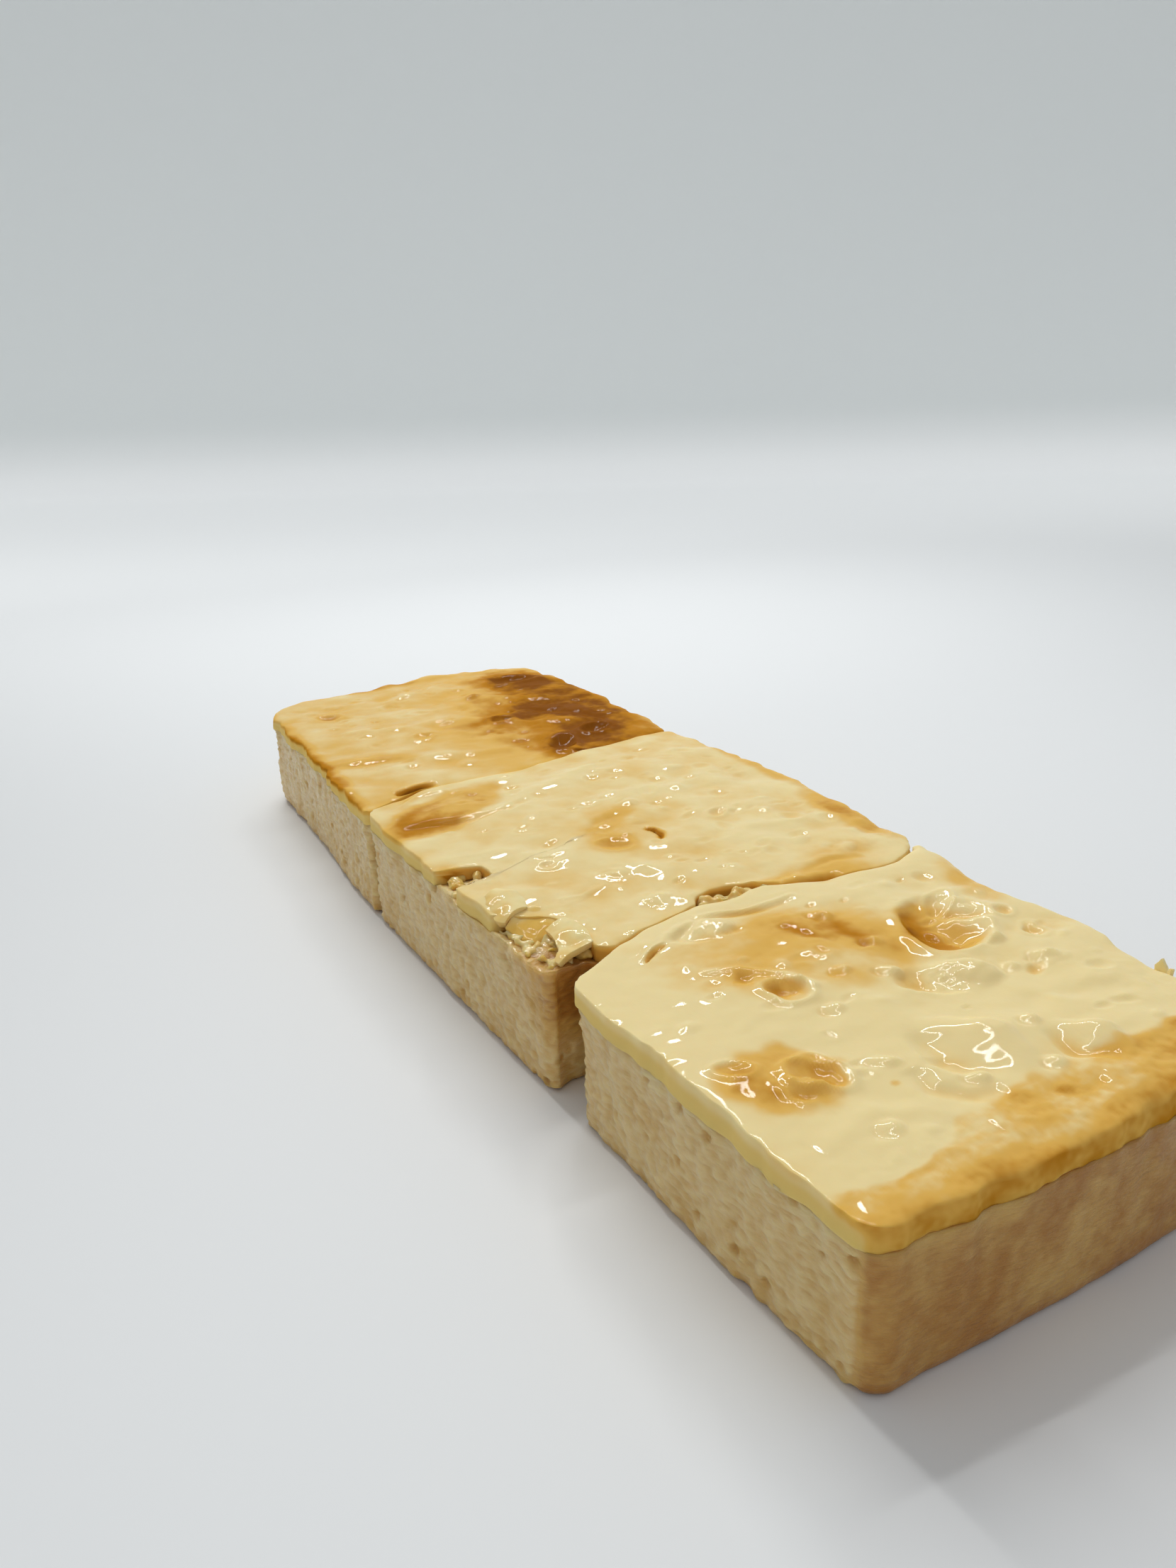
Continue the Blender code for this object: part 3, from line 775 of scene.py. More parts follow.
def select_none() -> None:
    """Leaves object mode with nothing selected."""
    if bpy.context.mode != "OBJECT":
        bpy.ops.object.mode_set(mode="OBJECT")
    bpy.ops.object.select_all(action="DESELECT")


def add_grid(name: str, columns: int, rows: int) -> tuple[bpy.types.Object, np.ndarray]:
    """Adds a unit grid.

    Args:
        name: The new object's name.
        columns: Steps along X.
        rows: Steps along Y.

    Returns:
        The object, and each vertex's column and row as rows of two whole numbers.
    """
    select_none()
    bpy.ops.mesh.primitive_grid_add(x_subdivisions=columns, y_subdivisions=rows, size=1)
    obj = bpy.context.active_object
    obj.name = obj.data.name = name
    co = vertices_of(obj)
    index = np.rint((co[:, :2] + 0.5) * (columns, rows)).astype(int)
    return obj, index


def vertices_of(obj: bpy.types.Object) -> np.ndarray:
    """The object's vertices as rows of x, y, z."""
    co = np.empty(len(obj.data.vertices) * 3)
    obj.data.vertices.foreach_get("co", co)
    return co.reshape(-1, 3)


def set_vertices(obj: bpy.types.Object, points_mm: np.ndarray) -> None:
    """Moves the object's vertices to places in mm from the datum, kept inside the solids' bounds."""
    placed = points_mm.copy()
    placed[:, :2] -= DATUM
    low, high = (np.array(corner) for corner in CAD_BOUNDS)
    placed = np.clip(placed * MM, low, high)
    obj.data.vertices.foreach_set("co", placed.ravel())
    obj.data.update()


def set_attribute(obj: bpy.types.Object, name: str, values: np.ndarray) -> None:
    """Stores one number for each vertex."""
    attribute = obj.data.attributes.new(name, "FLOAT", "POINT")
    attribute.data.foreach_set("value", values.astype(np.float32))


def close_up(obj: bpy.types.Object) -> None:
    """Merges a rolled grid's seam, fills its open ends, points its faces out and smooths them."""
    select_none()
    bpy.context.view_layer.objects.active = obj
    obj.select_set(True)
    bpy.ops.object.mode_set(mode="EDIT")
    bpy.ops.mesh.select_all(action="SELECT")
    bpy.ops.mesh.remove_doubles(threshold=1e-7)
    bpy.ops.mesh.fill_holes(sides=0)
    bpy.ops.mesh.select_all(action="SELECT")
    bpy.ops.mesh.normals_make_consistent(inside=False)
    bpy.ops.object.mode_set(mode="OBJECT")
    bpy.ops.object.shade_smooth()
    select_none()


def way_outside(outline: np.ndarray, points: np.ndarray) -> np.ndarray:
    """How far each point lies outside a closed outline.

    Args:
        outline: Rows of x, y, in order.
        points: Rows of x, y.

    Returns:
        The distance for each point, negative inside.
    """
    inside = np.zeros(len(points), bool)
    nearest = np.full(len(points), np.inf)
    for a, b in zip(outline, np.roll(outline, -1, axis=0)):
        if a[1] != b[1]:
            spans = (a[1] > points[:, 1]) != (b[1] > points[:, 1])
            crossing = a[0] + (points[:, 1] - a[1]) / (b[1] - a[1]) * (b[0] - a[0])
            inside ^= spans & (points[:, 0] < crossing)
        run = b - a
        t = np.clip(((points - a) @ run) / max(run @ run, 1e-12), 0, 1)
        away = points - (a + t[:, None] * run)
        nearest = np.minimum(nearest, np.hypot(away[:, 0], away[:, 1]))
    return np.where(inside, -nearest, nearest)


@dataclass
class CustardLayer:
    """The custard on one slice: a glossy, blistered sheet that folds down over the slice's sides."""

    place: Place
    steps: int = 186
    wall_rings: int = 10
    swell: Lumps = Lumps(0.85, 26.0, 20.0)
    waves: tuple[Lumps, ...] = (Lumps(0.45, 8.5, 30.0), Lumps(0.27, 4.6, 40.0, (0.8, 1.0)))
    pores: Lumps = Lumps(0.07, 1.9, 41.0, (0.7, 1.0))
    crumple: tuple[Lumps, ...] = (Lumps(1.0, 1.5, 42.0), Lumps(0.5, 0.8, 43.0))
    calm: float = 0.9
    calm_x: float = -36.0
    calm_reach: float = 15.0
    blotches: tuple[Lumps, ...] = (Lumps(0.2, 2.6, 52.0, (0.6, 1.0, 1.0)), Lumps(0.15, 1.1, 53.0))
    clouds: tuple[Lumps, ...] = (Lumps(0.08, 13.0, 50.0), Lumps(0.05, 4.0, 51.0))
    # Painted shade in the hollows, with the thinner custard's yellower colour
    hollow_bake_and_shade: float = 0.2
    hollow_range: Pair = (-0.5, 1.2)
    edge_bake: float = 0.08
    edge_bake_reach: float = 0.7
    torn_darkening: float = 0.26
    torn_x: Pair = (-36.4, 5.0)
    torn_to: float = 0.35
    cut_from: float = 0.1
    cut_to: float = 0.5
    cut_pale: float = 0.75
    edge_roll: float = 0.9
    edge_roll_least: float = 0.7
    edge_roll_lumps: Lumps = Lumps(0.9, 5.5, 54.0)
    edge_roll_reach: float = 1.5
    edge_dull: float = 0.85
    edge_dull_reach: float = 1.3
    thinnest: float = 1.0
    foot: float = 0.1
    foot_lumps: tuple[Lumps, ...] = (Lumps(0.55, 9.0, 80.0), Lumps(0.4, 2.6, 81.0))
    underside: float = 0.4
    round_from: float = 0.62
    wall_curve: float = 0.9
    wall_inset: float = 0.12
    wall_lumps: tuple[Lumps, ...] = (Lumps(0.16, 2.2, 5.0), Lumps(0.1, 0.9, 6.0))
    lip: float = 0.4
    lip_reach: float = 0.8
    tuck: float = 1.6

    def marks(self) -> list[Mark]:
        """Every mark on this slice, named and strewn."""
        rng = random.Random(SEED + len(self.place.value))
        named = MARKS[self.place]
        strewn = STREWN[self.place]
        return [*named, *strewn.dimples(rng, named), *strewn.dashes(rng)]

    def relief(self, points: np.ndarray) -> np.ndarray:
        """How far the skin's waves, crumples, blisters and folds stand up or sink.

        Args:
            points: Rows of x, y in mm.

        Returns:
            The height in mm for each point, negative in a hollow.
        """
        calm = 1.0
        if self.place is Place.NEAR:
            calm = 1 - self.calm * np.exp(-(((points[:, 0] - self.calm_x) / self.calm_reach) ** 2))
        z = calm * lumpy(points, self.waves) + self.pores.at(points)
        crumple = lumpy(points, self.crumple)
        for x, y, across, along, height in CRUMPLES[self.place]:
            spread = ((points[:, 0] - x) / across) ** 2 + ((points[:, 1] - y) / along) ** 2
            z += height * np.exp(-spread) * crumple
        for shape in (*self.marks(), *FOLDS[self.place]):
            z += shape.heights(points)
        return z

    def browning(self, solid: np.ndarray, edge: np.ndarray, relief: np.ndarray) -> np.ndarray:
        """How browned the custard is, from 0 to 1. It is darker and yellower where it is sunken: partly the
        thinner custard's colour, partly painted shade in the hollows.

        Args:
            solid: Rows of x, y, z in mm.
            edge: How far each point is from the nearest side, in mm.
            relief: How far each point stands up, in mm.

        Returns:
            The browning at each point.
        """
        points = solid[:, :2]
        bake = np.zeros(len(points))
        for shape in (*MARKS[self.place], *FOLDS[self.place], *STAINS[self.place]):
            bake += shape.browning(points)
        bake *= 1 + lumpy(solid, self.blotches)
        if self.place is Place.NEAR:
            bake += NearCrust().browning(solid)
        bake += self.edge_bake * np.exp(-edge / self.edge_bake_reach)
        # Each slice's base browning, partly painted shade on the middle and far slices, and soft clouds
        bake += CUSTARD_BAKE_AND_SHADE[self.place] + lumpy(points, self.clouds)
        # Painted shade in the hollows, with the thinner custard's yellower colour
        bake += self.hollow_bake_and_shade * np.clip(-relief, *self.hollow_range)
        return np.clip(bake, 0, 1)

    def build(self) -> bpy.types.Object:
        """Models the layer.

        Returns:
            The finished piece, with its browning stored as an attribute.
        """
        outline = OUTLINES[self.place]
        n, rings = self.steps, self.wall_rings
        total = n + 2 * rings
        obj, index = add_grid(f"custard_sheet_{self.place.value}", total, total)
        i, j = index[:, 0], index[:, 1]
        ring = np.minimum.reduce([i, j, total - i, total - j])
        on_top = ring >= rings
        u = np.clip((i - ring) / (total - 2 * ring), 0, 1)
        v = np.clip((j - ring) / (total - 2 * ring), 0, 1)
        u = np.where(on_top, (i - rings) / n, u)
        v = np.where(on_top, (j - rings) / n, v)
        plan = self.patch(outline, u, v)
        middle = self.patch(outline, np.array([0.5]), np.array([0.5]))[0]
        ways = [u, 1 - u, v, 1 - v]
        edge = 2 * HALF_WIDTH * np.minimum.reduce(ways)
        near_to = np.exp(-HALF_WIDTH * np.array(ways))
        crisp = np.array(CRISPNESS[self.place]) @ near_to / near_to.sum(axis=0)
        edge = np.where(on_top, edge, 0)
        relief = self.relief(plan)
        z = CUSTARD_TOP[self.place] + self.swell.at(plan) + relief
        roll = self.edge_roll * crisp * (self.edge_roll_least + self.edge_roll_lumps.at(plan))
        z = np.maximum(z - roll * np.exp(-edge / self.edge_roll_reach), CUSTARD_FLOOR + self.thinnest)
        lift = np.clip(ring / rings, 0, 1)
        border = CUSTARD_FLOOR + self.foot + lumpy(plan, self.foot_lumps)
        border = np.where(ring == 0, CUSTARD_FLOOR + self.underside, border)
        round_off = np.clip((lift - self.round_from) / (1 - self.round_from), 0, 1)
        inset = self.lip * crisp * (1 - np.sqrt(np.clip(1 - round_off**2, 0, 1)))
        inset = np.where(ring == 0, self.tuck, inset)
        walls = np.where(on_top, z, border + (z - border) * lift**self.wall_curve)
        solid = np.column_stack([plan, walls])
        inset += np.where(on_top, 0, crisp * (self.wall_inset + lumpy(solid, self.wall_lumps)))
        fade = np.where(on_top, self.lip * crisp * np.exp(-edge / self.lip_reach), inset)
        plan = middle + (plan - middle) * (1 - fade / HALF_WIDTH)[:, None]
        set_vertices(obj, np.column_stack([plan, walls]))
        bake = self.browning(np.column_stack([plan, walls]), edge, relief)
        cut_face = np.where(on_top, 0, ease(1 - lift, self.cut_from, self.cut_to))
        if self.place is Place.NEAR:
            cut_face = cut_face * (1 - near_wall(plan))
        if self.place is Place.MIDDLE:
            left, right = self.torn_x
            torn = (~on_top) & (plan[:, 0] > left) & (plan[:, 0] < right) & (plan[:, 1] < 0)
            # The torn walls of the middle slice are made darker and more golden towards their foot
            bake = bake + self.torn_darkening * np.where(torn, ease(1 - lift, 0.0, self.torn_to), 0)
            cut_face = np.where(torn, 0, cut_face)
        set_attribute(obj, "bake", bake * (1 - self.cut_pale * cut_face))
        set_attribute(obj, "cut", self.cut_pale * cut_face)
        set_attribute(obj, "dull", self.edge_dull * np.exp(-edge / self.edge_dull_reach))
        close_up(obj)
        return obj

    def patch(self, outline: Outline, u: np.ndarray, v: np.ndarray) -> np.ndarray:
        """Points of the plan, as a sheet hung between the slice's four sides.

        Args:
            outline: The slice's plan.
            u: Shares across.
            v: Shares along.

        Returns:
            Rows of x, y in mm.
        """
        count = 4 * self.steps
        sides = [outline.edge(k, count, Layer.CUSTARD) for k in range(4)]
        shares = np.linspace(0, 1, count + 1)

        def read(side: np.ndarray, share: np.ndarray) -> np.ndarray:
            """Points of one side, between its samples where need be."""
            return np.column_stack([np.interp(share, shares, side[:, c]) for c in (0, 1)])

        near, far = read(sides[0], u), read(sides[2], 1 - u)
        left, right = read(sides[3], 1 - v), read(sides[1], v)
        c00, c10, c11, c01 = (side[0] for side in sides)
        u, v = u[:, None], v[:, None]
        edges = near * (1 - v) + far * v + left * (1 - u) + right * u
        corners = (c00 * (1 - u) + c10 * u) * (1 - v) + (c01 * (1 - u) + c11 * u) * v
        return edges - corners


@dataclass(frozen=True)
class NearCrust:
    """The browned crust along the slab's near end."""

    wander: tuple[Lumps, ...] = (Lumps(1.8, 8.0, 90.0), Lumps(1.1, 2.8, 91.0))
    width: float = 6.2
    wider: float = 4.2
    wider_x: Pair = (-27.0, -12.0)
    edge: Pair = (0.84, 1.1)
    streaks: tuple[Lumps, ...] = (Lumps(0.55, 2.4, 92.0, (0.4, 1.0, 0.8)), Lumps(0.3, 0.9, 93.0))
    streak_least: float = 0.8
    bake: float = 0.29
    right_bake: float = 0.33
    right_x: Pair = (-5.0, 30.0)
    rim_bake: float = 0.16
    rim_width: float = 3.5

    def browning(self, solid: np.ndarray) -> np.ndarray:
        """How much the crust is browned, at rows of x, y, z in mm."""
        points = solid[:, :2]
        x = points[:, 0]
        width = self.width + self.wider * ease(x, *self.wider_x)
        way_in = points[:, 1] - NEAR_END_Y + lumpy(points, self.wander)
        low, high = self.edge
        band = 1 - ease(way_in, width * low, width * high)
        streaks = self.streak_least + lumpy(solid, self.streaks)
        rim = self.rim_bake * (1 - ease(way_in, 0, self.rim_width))
        return (self.bake * streaks + self.right_bake * ease(x, *self.right_x) + rim) * band


def near_wall(points: np.ndarray) -> np.ndarray:
    """1 on the slab's near end, where it met the pan, and 0 on its cut sides."""
    return 1 - ease(points[:, 1] - NEAR_END_Y, *PAN_SKIN)


@dataclass(frozen=True)
class Grated:
    """The patterns of grated cassava, at each point of a piece."""

    grains: np.ndarray
    coarse: np.ndarray
    pits: np.ndarray
    drag: np.ndarray
    shreds: np.ndarray
    swell: np.ndarray

    def mixed(self, weights: dict[str, float]) -> np.ndarray:
        """The patterns added up by their weights."""
        return sum(weight * getattr(self, name) for name, weight in weights.items())


# How much each pattern counts in the relief of a cut side, and in its browning
CUT_RELIEF = {"grains": -0.35, "coarse": -0.4, "drag": -0.35, "pits": 0.9, "shreds": -0.5, "swell": -0.55}
CUT_BAKE = {"grains": -0.08, "coarse": -0.06, "drag": -0.06, "shreds": -0.12}


@dataclass
class CassavaBody:
    """The grated cassava of one slice: cut sides with their strands and grains, and a browned foot."""

    place: Place
    columns: int = 680
    wall_rows: int = 42
    bared_rings: int = 28
    covered_rings: int = 4
    ring_step: float = 0.42
    foot_round: float = 0.9
    foot_reach: float = 0.5
    underside_inset: float = 3.0
    grain: float = 1.5
    grain_stretch: Triple = (1, 1, 1.25)
    coarse: float = 3.45
    coarse_stretch: Triple = (1, 1, 1.4)
    coarse_shift: float = 40.0
    pit: float = 5.5
    pit_stretch: Triple = (1, 1, 1.3)
    pit_shift: float = 80.0
    pit_edge: Pair = (0.8, 0.93)
    drag: Lumps = Lumps(1.0, 2.0, 12.0, (1, 1, 0.3))
    shreds: Lumps = Lumps(1.0, 1.5, 13.0, (1, 1, 2.4))
    swell: Lumps = Lumps(1.0, 6.5, 17.0)
    cut_inset: float = 0.73334
    rough: float = 0.62
    pan_inset: float = 0.272
    pan_lumps: Lumps = Lumps(0.25, 4.5, 22.0, (1, 1, 0.6))
    pan_grain: float = 0.12
    brim: float = 0.25
    brim_from: float = 0.7
    foot_bake: float = 0.5
    foot_bake_reach: float = 1.1
    foot_bake_least: float = 0.75
    foot_lumps: Lumps = Lumps(0.4, 5.0, 33.0)
    clouds: tuple[Lumps, ...] = (Lumps(1.0, 7.0, 14.0), Lumps(0.6, 2.6, 15.0))
    pan_bake: Pair = (0.5, 0.14)
    cut_bake: Pair = (0.12, 0.05)
    grain_bake: float = 0.096
    pan_smooth: float = 0.6
    pit_shade: float = 0.2
    cavity: Pair = (-31.5, -43.0)
    cavity_reach: float = 7.0
    cavity_shade: float = 0.6
    cavity_z: Pair = (6.0, 14.0)
    bared_x: float = -20.0
    bared_edge: Pair = (-0.5, 2.0)
    bared_rise: float = 0.42
    bared_lumps: Lumps = Lumps(0.9, 4.2, 60.0)
    bared_grain: float = 0.7

    def top_rings(self) -> int:
        """Rings modelled across the top: many where the custard is torn off, few where it's covered."""
        return self.bared_rings if self.place is Place.MIDDLE else self.covered_rings

    def grated(self, solid: np.ndarray) -> Grated:
        """The patterns at rows of x, y, z in mm."""
        return Grated(
            grain_solid(solid * self.grain_stretch, self.grain),
            grain_solid(solid * self.coarse_stretch + self.coarse_shift, self.coarse),
            ease(grain_solid(solid * self.pit_stretch + self.pit_shift, self.pit), *self.pit_edge),
            self.drag.at(solid),
            self.shreds.at(solid),
            self.swell.at(solid),
        )

    def browning(
        self, solid: np.ndarray, flat: np.ndarray, z: np.ndarray, grated: Grated, skin: np.ndarray
    ) -> np.ndarray:
        """How browned the cassava is, from 0 to 1: most at its foot and on the pan's side, with painted shade
        in the cavity at the left end of the first cut.

        Args:
            solid: Rows of x, y, z in mm, before the relief.
            flat: Rows of x, y in mm, with it.
            z: Each point's height in mm, with it.
            grated: The patterns.
            skin: 1 on the side that met the pan, 0 on a cut one.

        Returns:
            The browning at each point.
        """
        bottom = np.exp(-z / self.foot_bake_reach) * (self.foot_bake_least + self.foot_lumps.at(flat))
        cloud = lumpy(solid, self.clouds)
        pan, cut = (base + cloudy * cloud for base, cloudy in (self.pan_bake, self.cut_bake))
        bake = self.foot_bake * bottom + skin * pan + (1 - skin) * cut
        bake += (self.grain_bake + grated.mixed(CUT_BAKE)) * (1 - self.pan_smooth * skin)
        # The pits on the cut sides are painted darker, as shade in the recesses
        bake += self.pit_shade * grated.pits * (1 - skin)
        # Painted shade in the cavity at the left end of the first cut
        x, y = self.cavity
        cavity = np.hypot(flat[:, 0] - x, flat[:, 1] - y) / self.cavity_reach
        bake += self.cavity_shade * np.exp(-(cavity**2)) * ease(z, *self.cavity_z)
        return np.clip(bake, 0, 1)

    def build(self) -> bpy.types.Object:
        """Models the body.

        Returns:
            The finished piece, with its browning stored as an attribute.
        """
        outline = OUTLINES[self.place]
        rows = self.wall_rows + self.top_rings() + 2
        obj, index = add_grid(f"cassava_body_{self.place.value}", self.columns, rows)
        loop = outline.loop(self.columns // 4, Layer.CASSAVA)
        even = outline.eased().loop(self.columns // 4, Layer.CASSAVA)
        middle = loop.mean(axis=0)
        column, row = index[:, 0] % self.columns, index[:, 1]
        wall = np.clip((row - 1) / self.wall_rows, 0, 1)
        over = np.clip(row - 1 - self.wall_rows, 0, None)
        z = CASSAVA_TOP * wall
        ragged = (wall**3)[:, None]
        plan = even[column] * (1 - ragged) + loop[column] * ragged
        inset = self.foot_round * np.exp(-z / self.foot_reach) + self.ring_step * over
        inset = np.where(row == 0, self.underside_inset, inset)
        flat = middle + (plan - middle) * (1 - inset / HALF_WIDTH)[:, None]
        solid = np.column_stack([flat, z])
        grated = self.grated(solid)
        skin = near_wall(plan)
        cut = self.cut_inset + self.rough * grated.mixed(CUT_RELIEF)
        smooth = self.pan_inset + self.pan_lumps.at(solid) - self.pan_grain * grated.grains
        relief = cut * (1 - skin) + smooth * skin - self.brim * ease(wall, self.brim_from, 1.0)
        extra = np.where((over == 0) & (row > 0), relief, 0)
        flat = middle + (plan - middle) * (1 - (inset + extra) / HALF_WIDTH)[:, None]
        z = np.where(row == 0, 0, z + self.bared(flat, over, grated.grains))
        set_vertices(obj, np.column_stack([flat, z]))
        set_attribute(obj, "bake", self.browning(solid, flat, z, grated, skin))
        close_up(obj)
        return obj

    def bared(self, flat: np.ndarray, over: np.ndarray, grains: np.ndarray) -> np.ndarray:
        """How far the grated top stands up where no custard covers it.

        Args:
            flat: Rows of x, y in mm.
            over: Each point's ring across the top, 0 on the wall.
            grains: The grain pattern at each point.

        Returns:
            The rise in mm for each point.
        """
        rise = np.zeros(len(flat))
        if self.place is not Place.MIDDLE:
            return rise
        reach = (over > 0) & (flat[:, 0] < self.bared_x) & (flat[:, 1] < 0)
        clear = way_outside(OUTLINES[self.place].loop(LOOP_STEPS, Layer.CUSTARD), flat[reach])
        lump = self.bared_rise + self.bared_lumps.at(flat[reach]) + self.bared_grain * grains[reach]
        rise[reach] = ease(clear, *self.bared_edge) * lump
        return rise


class Shader:
    """Adds nodes to a tree and joins them, in as few words as can be."""

    def __init__(self, tree: bpy.types.NodeTree) -> None:
        """Keeps the tree."""
        self.tree = tree

    def add(self, kind: str, **values: object) -> bpy.types.Node:
        """Adds a node.

        Args:
            kind: The node's Blender type.
            values: Settings by name. A name that is an input's, with underscores for spaces, sets or
                joins that input.

        Returns:
            The node.
        """
        return self.fill(self.tree.nodes.new(kind), **values)

    def fill(self, node: bpy.types.Node, **values: object) -> bpy.types.Node:
        """Sets or joins a node's inputs and settings, named as for add, and returns the node."""
        for name, value in values.items():
            if hasattr(node, name) and name not in node.inputs:
                setattr(node, name, value)
                continue
            socket = node.inputs[int(name[1:])] if name[0] == "n" and name[1:].isdigit() else None
            socket = socket or node.inputs[name.replace("_", " ")]
            if isinstance(value, bpy.types.NodeSocket):
                self.tree.links.new(value, socket)
            else:
                socket.default_value = value
        return node


def new_group(name: str, inputs: dict[str, tuple[str, object]], output: tuple[str, str]) -> Shader:
    """Starts a node group.

    Args:
        name: The group's name.
        inputs: Socket type and default by input name.
        output: The output's name and socket type.

    Returns:
        A shader writer on the group, which holds a Group Input and a Group Output.
    """
    tree = bpy.data.node_groups.new(name, "ShaderNodeTree")
    for label, (kind, value) in inputs.items():
        tree.interface.new_socket(name=label, in_out="INPUT", socket_type=kind).default_value = value
    tree.interface.new_socket(name=output[0], in_out="OUTPUT", socket_type=output[1])
    tree.nodes.new("NodeGroupInput")
    tree.nodes.new("NodeGroupOutput")
    return Shader(tree)


def finished(made: Shader, **value: bpy.types.NodeSocket) -> bpy.types.NodeTree:
    """Joins a group's output to what makes it, and returns the group."""
    made.fill(made.tree.nodes["Group Output"], **value)
    return made.tree


FLOAT, COLOUR, VECTOR = "NodeSocketFloat", "NodeSocketColor", "NodeSocketVector"
BAKING_STEPS = {"Golden": (0.03, 0.34), "Brown": (0.32, 0.66), "Dark": (0.62, 1.0)}
STRAND_STRETCH = (0.5, 0.5, 1.7)


def baking_group() -> bpy.types.NodeTree:
    """A group that turns a browning from 0 to 1 into a colour, through four given colours."""
    inputs = {"Bake": (FLOAT, 0.0)}
    inputs |= {name: (COLOUR, (0.8, 0.8, 0.8, 1.0)) for name in ("Pale", "Golden", "Brown", "Dark")}
    made = new_group("baking", inputs, ("Colour", COLOUR))
    given = made.tree.nodes["Group Input"].outputs
    bake, colour = given["Bake"], given["Pale"]
    for name, (low, high) in BAKING_STEPS.items():
        step = made.add("ShaderNodeMapRange", interpolation_type="SMOOTHSTEP", Value=bake, From_Min=low,
                        From_Max=high).outputs["Result"]
        mixed = made.add("ShaderNodeMix", data_type="RGBA", n0=step, n6=colour, n7=given[name])
        colour = mixed.outputs[2]
    return finished(made, Colour=colour)


def mottle_group() -> bpy.types.NodeTree:
    """A group that gives a soft cloudy value around 0, by two sizes of noise."""
    inputs = {"Vector": (VECTOR, (0.0, 0.0, 0.0)), "Large": (FLOAT, 80.0), "Small": (FLOAT, 400.0)}
    made = new_group("mottle", inputs, ("Value", FLOAT))
    given = made.tree.nodes["Group Input"].outputs
    large = made.add("ShaderNodeTexNoise", Vector=given["Vector"], Scale=given["Large"], Detail=3.0)
    small = made.add("ShaderNodeTexNoise", Vector=given["Vector"], Scale=given["Small"], Detail=2.0)
    both = made.add("ShaderNodeMath", operation="ADD", n0=large.outputs[0], n1=small.outputs[0])
    centred = made.add("ShaderNodeMath", operation="SUBTRACT", n0=both.outputs[0], n1=1.0)
    return finished(made, Value=centred.outputs[0])


def grains_group() -> bpy.types.NodeTree:
    """A group that gives the height of moist grated strands and grains."""
    inputs = {"Vector": (VECTOR, (0.0, 0.0, 0.0)), "Scale": (FLOAT, 900.0), "Strands": (FLOAT, 0.5)}
    made = new_group("grains", inputs, ("Height", FLOAT))
    given = made.tree.nodes["Group Input"].outputs
    cell = made.add("ShaderNodeTexVoronoi", Vector=given["Vector"], Scale=given["Scale"], Randomness=1.0)
    stretched = made.add("ShaderNodeVectorMath", operation="MULTIPLY", n0=given["Vector"], n1=STRAND_STRETCH)
    strand = made.add("ShaderNodeTexNoise", Vector=stretched.outputs[0], Scale=given["Scale"], Detail=4.0)
    mixed = made.add("ShaderNodeMix", data_type="FLOAT", n0=given["Strands"], n2=cell.outputs["Distance"],
                     n3=strand.outputs[0])
    return finished(made, Height=mixed.outputs[0])


@dataclass(frozen=True)
class Groups:
    """The shared shader groups."""

    baking: bpy.types.NodeTree
    mottle: bpy.types.NodeTree
    grains: bpy.types.NodeTree


